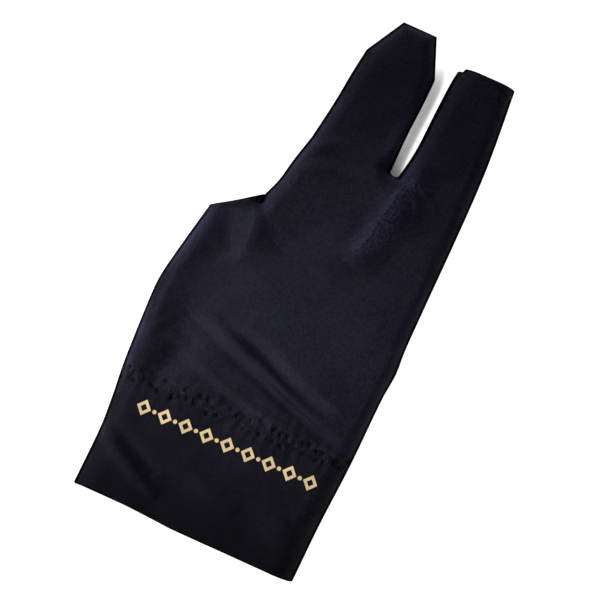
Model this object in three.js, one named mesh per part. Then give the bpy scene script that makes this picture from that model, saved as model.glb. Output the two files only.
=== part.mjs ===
// A three-finger billiard glove of black stretch knit, lying flat with the back of the hand up.
// Millimetres: +X runs across the glove, +Y from the wrist to the fingertips, +Z up from the table.
// Until the last step, x = 0 is the lower corner of the fold edge, y = 0 the wrist hem, z = 0 the table.

import * as THREE from "three";
import { mergeVertices } from "three/addons/utils/BufferGeometryUtils.js";

// Wrist and palm, measured flat
const cuffWidth = 95;
const cuffDepth = 50; // wrist hem to the stitched line
const palmWidth = 100.5; // widest, across the base of the thumb
const foldBow = 3.1; // how far the fold edge swells outwards
const crotchHeight = 163.6; // wrist hem to the crotch between the two stalls

// Thumb opening: a slanting edge between the side seam and the root of the long stall
const thumbHeight = 135.6; // wrist hem to the inner corner of the opening
const thumbSpan = 18.2; // across the glove, outer corner to inner corner
const thumbRise = 13.1; // along the glove, outer corner to inner corner
const thumbSag = 0.6; // how far the edge hangs below a straight line between its corners

// Long stall, sewn shut at its tip
const longLength = 56.4;
const longWidth = 34.2;
const longTipWidth = 14.3;
const longTaper = 16; // length of the two slanting sides of the tip
const longLean = 4.5; // how far the tip leans towards the short stall
const rootFlare = 7.4; // how far the root widens down to the thumb opening

// Short stall, left open at its end
const shortLength = 49.6;
const shortWidth = 31;
const shortEndWidth = 23.4;
const slitWidth = 3.6; // between the stalls, at the crotch

// Heights of the loosely lying glove
const cuffLoft = 8.6;
const palmLoft = 9.2;
const stallLoft = 7.8;
const seamHeight = 2.2; // seams and the fold lie this far above the table
const topRoll = 12; // width over which the back rises from a seam
const underRoll = 5; // width over which the palm side comes down from a seam

// Cloth
const knit = 1; // one layer
const turnedKnit = 1.4; // two layers sewn flat, in the cuff and the hems
const hemDepth = 3;
const sewingGap = 0.3; // between two pieces that meet
const foldHeight = 1.6; // of the deepest drag fold
const foldHalfWidth = 4.5;

// The fold edge, along the short side of the glove: the outward swell of the whole panel, and a small
// kink of this edge alone, both as shares of foldBow
const foldEdgeRows = [
  { at: 0, swell: 0, kink: 0 },
  { at: 0.12, swell: 0.2, kink: 0 },
  { at: 0.24, swell: 0.65, kink: 0 },
  { at: 0.38, swell: 0.85, kink: 0 },
  { at: 0.43, swell: 0.92, kink: 0.23 },
  { at: 0.48, swell: 0.95, kink: 0 },
  { at: 0.75, swell: 1, kink: 0 },
  { at: 0.86, swell: 0.8, kink: 0 },
  { at: 1, swell: 0, kink: 0 },
];

// The body up to the outer thumb corner: shares of the steps from cuff to palm and from palm to shoulder
const bodyRows = [
  { at: 0, toPalm: 0, toShoulder: 0 },
  { at: 0.2, toPalm: 0, toShoulder: 0 },
  { at: 0.3, toPalm: 0.25, toShoulder: 0 },
  { at: 0.42, toPalm: 0.66, toShoulder: 0 },
  { at: 0.62, toPalm: 0.96, toShoulder: 0 },
  { at: 0.72, toPalm: 1, toShoulder: 0 },
  { at: 0.82, toPalm: 1, toShoulder: 0.3 },
  { at: 1, toPalm: 1, toShoulder: 1 },
];

// The long stall's root, from the thumb opening to the crotch: how much of rootFlare is gone
const rootRows = [
  { at: 0, gone: 0 },
  { at: 0.26, gone: 0.36 },
  { at: 0.6, gone: 0.62 },
  { at: 1, gone: 1 },
];

// Both stalls, crotch to tip or end: widths as shares of the named width there
const longRows = [
  { at: 0, width: 1 },
  { at: 0.4, width: 0.93 },
  { at: 0.75, width: 0.905 },
  { at: 1, width: 0.87 },
];
const shortRows = [
  { at: 0, toEnd: 0 },
  { at: 0.22, toEnd: 0.27 },
  { at: 0.55, toEnd: 0.5 },
  { at: 0.85, toEnd: 0.78 },
  { at: 1, toEnd: 1 },
];

// Loft along the glove, as shares of the steps from cuff to palm and from palm to stalls
const loftRows = [
  { at: 0, toPalm: 0, toStall: 0 },
  { at: 0.25, toPalm: 0.5, toStall: 0 },
  { at: 0.45, toPalm: 1, toStall: 0 },
  { at: 0.78, toPalm: 1, toStall: 1 },
  { at: 1, toPalm: 1, toStall: 1 },
];

// Folds in the back, each from one end to the other, where it has died away. Across is a share of
// palmWidth from the fold edge, and up a share of crotchHeight from the hem. Height is a share of
// foldHeight, below 0 for a groove.
const folds = [
  { name: "upper drag", across: 0.72, up: 0.548, toAcross: 0.15, toUp: 0.397, height: -0.8 },
  { name: "lower drag", across: 0.85, up: 0.508, toAcross: 0, toUp: 0.33, height: -1 },
  { name: "drag ridge", across: 0.76, up: 0.533, toAcross: 0.24, toUp: 0.382, height: 0.6 },
  { name: "thumb base dent", across: 0.89, up: 0.406, toAcross: 0.65, toUp: 0.354, height: -0.7 },
  { name: "crotch ridge", across: 0.264, up: 1.003, toAcross: 0.316, toUp: 0.727, height: 1 },
  { name: "crotch groove", across: 0.25, up: 0.984, toAcross: 0.16, toUp: 0.866, height: -0.7 },
  { name: "thumb ridge", across: 0.773, up: 0.817, toAcross: 0.747, toUp: 0.673, height: 0.8 },
  { name: "thumb drag", across: 0.727, up: 0.81, toAcross: 0.583, toUp: 0.73, height: 0.6 },
  { name: "cuff crease", across: 0.986, up: 0.181, toAcross: 0.434, toUp: 0.049, height: -0.5 },
];

// Where the grid's columns lie in each strip, as shares of its width, closer near an edge
const thumbColumns = [0, 0.08, 0.27, 0.52, 0.76, 1];
const longColumns = [0, 0.05, 0.16, 0.3, 0.43, 0.57, 0.7, 0.84, 0.95, 1];
const slitColumns = [0, 1];
const shortColumns = [0, 0.05, 0.17, 0.33, 0.5, 0.67, 0.83, 0.95, 1];
const guideShares = { thumb: 0.19, crotch: 0.64 }; // where the strips start along the hem

// How many rows of faces each stretch has along the glove
const rowCounts = { cuff: 12, palm: 21, knuckle: 6, longStall: 8, tip: 5, shortStall: 11, hem: 1 };
const seamSteps = 40; // straight steps by which the distance to a curved seam is measured
const weld = 1e-4; // points closer than this are one point

const thumbOuterHeight = thumbHeight - thumbRise;
const shortTop = crotchHeight + shortLength;
const longTop = crotchHeight + longLength;
const taperStart = longTop - longTaper;
const knuckleWidth = shortWidth + slitWidth + longWidth + rootFlare;
const shoulderWidth = knuckleWidth + thumbSpan;

// Where the pieces of cloth meet
const cuffEnd = cuffDepth - sewingGap / 2;
const shellStart = cuffDepth + sewingGap / 2;
const thumbHemStart = thumbHeight - hemDepth;
const shellEnd = thumbHemStart - sewingGap; // at the thumb opening
const shortHemStart = shortTop - hemDepth;

const mix = (a, b, share) => a * (1 - share) + b * share;
const clamp01 = (value) => Math.min(1, Math.max(0, value));

// Evenly spaced places from one height to another
const stations = (from, to, count) =>
  Array.from({ length: count + 1 }, (_, k) => mix(from, to, k / count));

// One column of a table, read smoothly between its rows
function read(rows, column, at) {
  const place = Math.min(Math.max(at, rows[0].at), rows.at(-1).at);
  const high = Math.max(1, rows.findIndex((row) => row.at >= place));
  const slope = (k) => {
    const before = rows[Math.max(0, k - 1)];
    const after = rows[Math.min(rows.length - 1, k + 1)];
    return (after[column] - before[column]) / (after.at - before.at);
  };
  const [low, top] = [rows[high - 1], rows[high]];
  const step = top.at - low.at;
  const t = (place - low.at) / step;
  const bend = t * t * (3 - 2 * t);
  const rise = slope(high - 1) * t * (1 - t) ** 2 - slope(high) * t * t * (1 - t);
  return mix(low[column], top[column], bend) + step * rise;
}

// Quarter of an ellipse: 0 at a seam, 1 where the roll has ended
function rolled(distance, width) {
  const t = clamp01(distance / width);
  return Math.sqrt(1 - (1 - t) ** 2);
}

function distanceToSegment(x, y, a, b) {
  const [dx, dy] = [b[0] - a[0], b[1] - a[1]];
  const lengthSquared = dx * dx + dy * dy || 1; // a segment of no length is its own start
  const t = clamp01(((x - a[0]) * dx + (y - a[1]) * dy) / lengthSquared);
  return { distance: Math.hypot(x - a[0] - t * dx, y - a[1] - t * dy), t };
}

// Lift of the back by its folds: a smooth ridge or groove that dies away at both ends
function foldLift(x, y) {
  let lift = 0;
  for (const fold of folds) {
    const start = [-fold.across * palmWidth, fold.up * crotchHeight];
    const end = [-fold.toAcross * palmWidth, fold.toUp * crotchHeight];
    const { distance, t } = distanceToSegment(x, y, start, end);
    const fade = Math.sin(Math.PI * t);
    lift += fold.height * foldHeight * fade * Math.exp(-((distance / foldHalfWidth) ** 2));
  }
  return lift;
}

function loftAt(y) {
  const share = y / longTop;
  const palm = mix(cuffLoft, palmLoft, read(loftRows, "toPalm", share));
  return mix(palm, stallLoft, read(loftRows, "toStall", share));
}

// The glove's outline and heights, moved inwards by the thickness of its cloth.
// Thickness 0 gives the outer face, and a wall's thickness gives its inner face.
function face(thickness) {
  const panelEdge = (y) => foldBow * read(foldEdgeRows, "swell", y / shortTop) - thickness;
  const foldEdge = (y) => panelEdge(y) + foldBow * read(foldEdgeRows, "kink", y / shortTop);

  const sideSeam = (y) => {
    const share = y / thumbOuterHeight;
    const palm = mix(cuffWidth, palmWidth, read(bodyRows, "toPalm", share));
    const width = mix(palm, shoulderWidth, read(bodyRows, "toShoulder", share));
    return panelEdge(y) + 2 * thickness - width;
  };

  const shortSide = (y) => {
    const share = read(shortRows, "toEnd", (y - crotchHeight) / shortLength);
    return foldEdge(y) + 2 * thickness - mix(shortWidth, shortEndWidth, share);
  };

  const crotchRight = shortSide(crotchHeight);
  const crotchLeft = crotchRight - slitWidth - 2 * thickness;
  const longBase = crotchLeft + thickness - longWidth / 2;

  const longCentre = (y) => longBase + longLean * ((y - crotchHeight) / longLength);
  const longHalf = (y) => {
    const share = read(longRows, "width", (y - crotchHeight) / (taperStart - crotchHeight));
    const taper = clamp01((y - taperStart) / longTaper);
    return mix((longWidth / 2) * share, longTipWidth / 2, taper) - thickness;
  };
  const longLeft = (y) => {
    if (y >= crotchHeight) return longCentre(y) - longHalf(y);
    const gone = read(rootRows, "gone", (y - thumbHeight) / (crotchHeight - thumbHeight));
    const root = longCentre(crotchHeight) - longHalf(crotchHeight);
    const opening = foldEdge(thumbHeight) + 2 * thickness - knuckleWidth;
    return mix(opening, root, gone);
  };
  const longRight = (y) => longCentre(y) + longHalf(y);

  // Below the thumb opening and the crotch the strips run down to fixed places on the hem
  const onHem = (share) => mix(sideSeam(0), foldEdge(0), share);
  const thumbGuide = (y) => {
    if (y >= thumbHeight) return longLeft(y);
    return mix(onHem(guideShares.thumb), longLeft(thumbHeight), y / thumbHeight);
  };
  const slitLeft = (y) => {
    if (y >= crotchHeight) return longRight(y);
    return mix(onHem(guideShares.crotch) - slitWidth / 2, crotchLeft, y / crotchHeight);
  };
  const slitRight = (y) => {
    if (y >= crotchHeight) return shortSide(y);
    return mix(onHem(guideShares.crotch) + slitWidth / 2, crotchRight, y / crotchHeight);
  };

  const crotchY = crotchHeight - thickness;
  const tipY = longTop - thickness;

  // Closed edges, where the back and the palm side meet
  const line = (edge, from, to) => stations(from, to, seamSteps).map((y) => [edge(y), y]);
  const stallSeam = [
    ...line(thumbGuide, shellEnd, tipY),
    ...line(longRight, tipY, crotchHeight),
    [crotchLeft, crotchY],
    [crotchRight, crotchY],
    ...line(shortSide, crotchHeight, shortTop),
  ];
  const seams = [line(sideSeam, 0, thumbOuterHeight), stallSeam, line(foldEdge, 0, shortTop)];

  function distanceToSeam(x, y) {
    let nearest = Infinity;
    for (const seam of seams) {
      for (let k = 1; k < seam.length; k++) {
        const { distance } = distanceToSegment(x, y, seam[k - 1], seam[k]);
        nearest = Math.min(nearest, distance);
      }
    }
    return nearest;
  }

  function back({ x, y, onSeam }) {
    if (onSeam) return seamHeight;
    const distance = distanceToSeam(x, y);
    const rise = loftAt(y) - thickness - seamHeight;
    const roll = rolled(distance, topRoll - thickness);
    return seamHeight + rise * roll + foldLift(x, y) * roll ** 2;
  }

  function palm({ x, y, onSeam }) {
    if (onSeam) return seamHeight;
    const drop = seamHeight - thickness;
    return seamHeight - drop * rolled(distanceToSeam(x, y), underRoll - thickness);
  }

  // A row of grid points from one edge to another, with what lies on a closed edge marked
  function row(left, right, columns, y, seamAt) {
    return columns.map((share, k) => ({
      x: mix(left, right, share),
      y: y === crotchHeight ? crotchY : y,
      onSeam: (k === 0 && seamAt.left) || (k === columns.length - 1 && seamAt.right) || seamAt.between,
    }));
  }

  // The strip that ends in the slanting thumb opening: its rows tilt more and more
  function thumbRow(y, right, seamAt) {
    const tilt = clamp01((y - cuffDepth) / (thumbHeight - cuffDepth)) ** 2;
    const leftY = y - thumbRise * tilt;
    const sag = (share) => thumbSag * tilt * 4 * share * (1 - share);
    return row(sideSeam(leftY), right, thumbColumns, y, seamAt).map((point, k) => ({
      ...point,
      y: mix(leftY, y, thumbColumns[k]) - sag(thumbColumns[k]),
    }));
  }

  const longRow = (y, seamAt) => row(thumbGuide(y), slitLeft(y), longColumns, y, seamAt);
  const slitRow = (y, seamAt) => row(slitLeft(y), slitRight(y), slitColumns, y, seamAt);
  const shortRow = (y, seamAt) => row(slitRight(y), foldEdge(y), shortColumns, y, seamAt);

  return { back, palm, thumbRow, longRow, slitRow, shortRow, thumbGuide, tipY };
}

// The main panel: palm, back and both stalls, folded along one side and sewn along the others
function shellPatches(side) {
  const palmStations = stations(shellStart, shellEnd, rowCounts.palm);
  const knuckleStations = stations(shellEnd, crotchHeight, rowCounts.knuckle);
  const bodyStations = [...palmStations, ...knuckleStations.slice(1)];
  const atCrotch = (y) => y === crotchHeight;

  const thumb = palmStations.map((y) =>
    side.thumbRow(y, side.thumbGuide(y), { left: true, right: y === shellEnd }),
  );
  const long = bodyStations.map((y) => side.longRow(y, { left: y >= shellEnd, right: atCrotch(y) }));
  const slit = bodyStations.map((y) => side.slitRow(y, { between: atCrotch(y) }));
  const short = bodyStations.map((y) => side.shortRow(y, { left: atCrotch(y), right: true }));

  const longStations = [
    ...stations(crotchHeight, taperStart, rowCounts.longStall),
    ...stations(taperStart, side.tipY, rowCounts.tip).slice(1),
  ];
  const longStall = longStations.map((y) =>
    side.longRow(y, { left: true, right: true, between: y === side.tipY }),
  );
  const shortStations = stations(crotchHeight, shortHemStart - sewingGap, rowCounts.shortStall);
  const shortStall = shortStations.map((y) => side.shortRow(y, { left: true, right: true }));

  const wrist = [thumb, long, slit, short].flatMap((rows, k) => (k === 0 ? rows[0] : rows[0].slice(1)));
  return {
    patches: [thumb, long, slit, short, longStall, shortStall],
    openings: [
      { points: wrist, facesUp: false },
      { points: thumb.at(-1), facesUp: true },
      { points: shortStall.at(-1), facesUp: true },
    ],
  };
}

// A tube of one patch that is open at both ends
function openTube(rows) {
  return {
    patches: [rows],
    openings: [
      { points: rows[0], facesUp: false },
      { points: rows.at(-1), facesUp: true },
    ],
  };
}

// The wide wrist cuff: cloth turned in at the hem and sewn down along the stitched line
function cuffPatches(side) {
  const rowAt = (y) => {
    const thumb = side.thumbRow(y, side.thumbGuide(y), { left: true });
    const long = side.longRow(y, {});
    const slit = side.slitRow(y, {});
    const short = side.shortRow(y, { right: true });
    return [...thumb, ...long.slice(1), ...slit.slice(1), ...short.slice(1)];
  };
  return openTube(stations(0, cuffEnd, rowCounts.cuff).map(rowAt));
}

// The turned hem round the thumb opening, a gap away from the root of the long stall
function thumbHemPatches(side) {
  const rowAt = (y) => side.thumbRow(y, side.thumbGuide(y) - sewingGap, { left: true, right: true });
  return openTube(stations(thumbHemStart, thumbHeight, rowCounts.hem).map(rowAt));
}

// The turned hem round the short stall's open end
function shortHemPatches(side) {
  const rowAt = (y) => side.shortRow(y, { left: true, right: true });
  return openTube(stations(shortHemStart, shortTop, rowCounts.hem).map(rowAt));
}

// Triangles between the rows of a grid, facing up, or down if turned over
function gridTriangles(rows, height, turned) {
  const vertex = (point) => [point.x, point.y, height(point)];
  const lifted = rows.map((points) => points.map(vertex));
  const triangles = [];
  for (let j = 1; j < rows.length; j++) {
    for (let i = 1; i < rows[j].length; i++) {
      const [a, b] = [lifted[j - 1][i - 1], lifted[j - 1][i]];
      const [c, d] = [lifted[j][i], lifted[j][i - 1]];
      triangles.push([a, b, c], [a, c, d]);
    }
  }
  return turned ? triangles.map(([a, b, c]) => [a, c, b]) : triangles;
}

// The cut edge of the cloth at an opening, between the outer and inner faces
function rimTriangles(outer, inner, height, heightInside, turned) {
  const rows = [
    outer.map((point) => ({ ...point, z: height(point) })),
    inner.map((point) => ({ ...point, z: heightInside(point) })),
  ];
  return gridTriangles(rows, (point) => point.z, turned);
}

// A piece of cloth as one closed solid: outer face, inner face and the edges at its openings
function clothSolid(makePatches, thickness) {
  const [outside, inside] = [face(0), face(thickness)];
  const [outer, inner] = [makePatches(outside), makePatches(inside)];
  const triangles = [];
  outer.patches.forEach((rows) => {
    triangles.push(...gridTriangles(rows, outside.back, false));
    triangles.push(...gridTriangles(rows, outside.palm, true));
  });
  inner.patches.forEach((rows) => {
    triangles.push(...gridTriangles(rows, inside.back, true));
    triangles.push(...gridTriangles(rows, inside.palm, false));
  });
  outer.openings.forEach(({ points, facesUp }, k) => {
    const within = inner.openings[k].points;
    triangles.push(...rimTriangles(points, within, outside.back, inside.back, !facesUp));
    triangles.push(...rimTriangles(points, within, outside.palm, inside.palm, facesUp));
  });
  const geometry = new THREE.BufferGeometry();
  geometry.setAttribute("position", new THREE.Float32BufferAttribute(triangles.flat(2), 3));
  return mergeVertices(geometry, weld);
}

const knitCloth = { color: 0x17161f, roughness: 0.82, metalness: 0 };
const pieces = [
  { name: "glove_shell", make: shellPatches, thickness: knit },
  { name: "cuff_band", make: cuffPatches, thickness: turnedKnit },
  { name: "thumb_opening_hem", make: thumbHemPatches, thickness: turnedKnit },
  { name: "short_stall_hem", make: shortHemPatches, thickness: turnedKnit },
];

const glove = new THREE.Group();
for (const { name, make, thickness } of pieces) {
  const geometry = clothSolid(make, thickness);
  geometry.computeVertexNormals();
  const mesh = new THREE.Mesh(geometry, new THREE.MeshStandardMaterial(knitCloth));
  mesh.name = name;
  glove.add(mesh);
}

// The finished glove stands with the middle of its underside on the origin
const box = new THREE.Box3().setFromObject(glove);
glove.position.set(-(box.min.x + box.max.x) / 2, -(box.min.y + box.max.y) / 2, -box.min.z);

export default glove;
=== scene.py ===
# %% [markdown]
# # A billiard glove in black stretch knit
# The glove lies flat on its palm side and is seen from straight above. Its cloth is one folded panel with
# two finger stalls, a wide doubled cuff, and turned hems round the thumb opening and the short stall's
# end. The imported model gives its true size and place. Everything here dresses that model and keeps close
# to it.

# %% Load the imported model
import math

import bmesh
import bpy
import numpy as np
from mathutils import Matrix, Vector


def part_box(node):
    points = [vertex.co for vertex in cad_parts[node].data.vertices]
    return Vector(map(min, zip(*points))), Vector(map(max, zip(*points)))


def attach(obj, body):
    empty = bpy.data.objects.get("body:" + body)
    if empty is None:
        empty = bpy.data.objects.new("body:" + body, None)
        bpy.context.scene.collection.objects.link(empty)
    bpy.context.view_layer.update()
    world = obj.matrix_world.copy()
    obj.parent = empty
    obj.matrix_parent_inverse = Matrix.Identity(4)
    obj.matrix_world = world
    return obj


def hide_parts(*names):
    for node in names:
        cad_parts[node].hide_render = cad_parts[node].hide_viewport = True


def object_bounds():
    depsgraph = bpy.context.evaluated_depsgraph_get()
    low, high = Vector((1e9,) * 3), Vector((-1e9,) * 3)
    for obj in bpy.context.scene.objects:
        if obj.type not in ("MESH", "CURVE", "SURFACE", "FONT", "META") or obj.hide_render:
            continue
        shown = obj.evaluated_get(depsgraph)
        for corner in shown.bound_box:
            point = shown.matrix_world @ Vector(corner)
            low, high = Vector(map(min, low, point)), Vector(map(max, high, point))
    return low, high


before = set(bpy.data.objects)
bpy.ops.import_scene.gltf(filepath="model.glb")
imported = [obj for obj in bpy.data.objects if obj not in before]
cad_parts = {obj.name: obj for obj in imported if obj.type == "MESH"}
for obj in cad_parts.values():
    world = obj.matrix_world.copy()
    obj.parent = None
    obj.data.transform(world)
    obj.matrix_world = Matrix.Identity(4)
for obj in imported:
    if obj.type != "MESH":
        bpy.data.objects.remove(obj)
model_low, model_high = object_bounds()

print("model", [round(high - low, 4) for low, high in zip(model_low, model_high)])

# %% [markdown]
# ## Sizes
# A glove like this is cut from a paper pattern, so the sizes below are those of the pattern laid flat.
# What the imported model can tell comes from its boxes. The rest are named lengths in metres. In the
# pattern's own frame x is 0 at the lower corner of the folded edge and grows towards it, and y is 0 at
# the wrist hem.

# %% Named sizes
MM = 0.001

sewing_gap = 0.3 * MM
hem_depth = 3 * MM
knit = 1 * MM  # one layer of cloth, its loops included
turned_knit = 1.4 * MM  # two layers sewn flat

cuff_width = 95 * MM
palm_width = 100.5 * MM
fold_bow = 3.1 * MM  # how far the folded edge swells outwards
crotch_height = 163.6 * MM

thumb_span = 18.2 * MM
thumb_rise = 13.1 * MM
thumb_sag = 0.6 * MM

long_width = 34.2 * MM
long_tip_width = 14.3 * MM
long_taper = 16 * MM
long_lean = 4.5 * MM
root_flare = 7.4 * MM

short_width = 31 * MM
short_end_width = 23.4 * MM
corner_notch = 1.9 * MM  # the hem's corner next to the long stall is drawn in
notch_depth = 2.2 * MM
slit_width = 3.6 * MM
crotch_sag = 1 * MM  # the slit ends in a small round

cuff_loft = 8.6 * MM
palm_loft = 9.2 * MM
stall_loft = 7.8 * MM
seam_height = 2.2 * MM
cuff_roll = 10 * MM  # width over which the back rises from a closed edge
palm_roll = 6.5 * MM
under_roll = 5 * MM

hem_y = model_low.y
cuff_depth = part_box("cuff_band")[1].y + sewing_gap / 2 - hem_y
thumb_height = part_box("thumb_opening_hem")[1].y - hem_y
short_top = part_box("short_stall_hem")[1].y - hem_y
long_top = model_high.y - hem_y
thumb_outer_height = thumb_height - thumb_rise
taper_start = long_top - long_taper
knuckle_width = short_width + slit_width + long_width + root_flare
shoulder_width = knuckle_width + thumb_span
print("cuff", round(cuff_depth, 4), "thumb", round(thumb_height, 4))
print("stalls", round(long_top, 4), "and", round(short_top, 4))

# %% [markdown]
# ## The outline
# The outline could be one long list of points, but a pattern cutter thinks in widths at a few heights. So
# each edge is a short table of shares of a named size, read smoothly between its rows. Reading it for a
# whole array of heights at once keeps thousands of cloth points quick to place.

# %% Tables of the outline
fold_edge_rows = [
    {"at": 0, "swell": 0, "kink": 0},
    {"at": 0.12, "swell": 0.2, "kink": 0},
    {"at": 0.24, "swell": 0.65, "kink": 0},
    {"at": 0.38, "swell": 0.85, "kink": 0},
    {"at": 0.43, "swell": 0.92, "kink": 0.23},
    {"at": 0.48, "swell": 0.95, "kink": 0},
    {"at": 0.75, "swell": 1, "kink": 0},
    {"at": 0.86, "swell": 0.8, "kink": 0},
    {"at": 1, "swell": 0, "kink": 0},
]
body_rows = [
    {"at": 0, "to_palm": 0, "to_shoulder": 0},
    {"at": 0.2, "to_palm": 0, "to_shoulder": 0},
    {"at": 0.3, "to_palm": 0.25, "to_shoulder": 0},
    {"at": 0.42, "to_palm": 0.66, "to_shoulder": 0},
    {"at": 0.62, "to_palm": 0.96, "to_shoulder": 0},
    {"at": 0.72, "to_palm": 1, "to_shoulder": 0},
    {"at": 0.82, "to_palm": 1, "to_shoulder": 0.3},
    {"at": 1, "to_palm": 1, "to_shoulder": 1},
]
root_rows = [
    {"at": 0, "gone": 0},
    {"at": 0.26, "gone": 0.36},
    {"at": 0.6, "gone": 0.62},
    {"at": 1, "gone": 1},
]
long_rows = [
    {"at": 0, "width": 1},
    {"at": 0.4, "width": 0.93},
    {"at": 0.75, "width": 0.905},
    {"at": 1, "width": 0.87},
]
short_rows = [
    {"at": 0, "to_end": 0},
    {"at": 0.22, "to_end": 0.27},
    {"at": 0.55, "to_end": 0.5},
    {"at": 0.85, "to_end": 0.78},
    {"at": 1, "to_end": 1},
]
loft_rows = [
    {"at": 0, "to_palm": 0, "to_stall": 0},
    {"at": 0.25, "to_palm": 0.5, "to_stall": 0},
    {"at": 0.45, "to_palm": 1, "to_stall": 0},
    {"at": 0.78, "to_palm": 1, "to_stall": 1},
    {"at": 1, "to_palm": 1, "to_stall": 1},
]
roll_rows = [
    {"at": 0, "to_palm": 0},
    {"at": 0.16, "to_palm": 0.1},
    {"at": 0.3, "to_palm": 0.9},
    {"at": 0.36, "to_palm": 1},
    {"at": 1, "to_palm": 1},
]


def mix(a, b, share):
    return a * (1 - share) + b * share


def read(rows, column, at):
    """One column of a table, read smoothly between its rows, at every place of an array."""
    places = np.array([row["at"] for row in rows], float)
    values = np.array([row[column] for row in rows], float)
    before = np.maximum(np.arange(len(rows)) - 1, 0)
    after = np.minimum(np.arange(len(rows)) + 1, len(rows) - 1)
    slopes = (values[after] - values[before]) / (places[after] - places[before])
    place = np.clip(at, places[0], places[-1])
    high = np.clip(np.searchsorted(places, place), 1, len(rows) - 1)
    low = high - 1
    step = places[high] - places[low]
    t = (place - places[low]) / step
    bend = t * t * (3 - 2 * t)
    rise = slopes[low] * t * (1 - t) ** 2 - slopes[high] * t * t * (1 - t)
    return mix(values[low], values[high], bend) + step * rise


fold_x = model_high.x - fold_bow * max(row["swell"] + row["kink"] for row in fold_edge_rows)
pattern_place = np.array([fold_x, hem_y, model_low.z])  # the pattern's zero in the model's frame
print("folded edge at the hem, x =", round(fold_x, 4))
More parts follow.
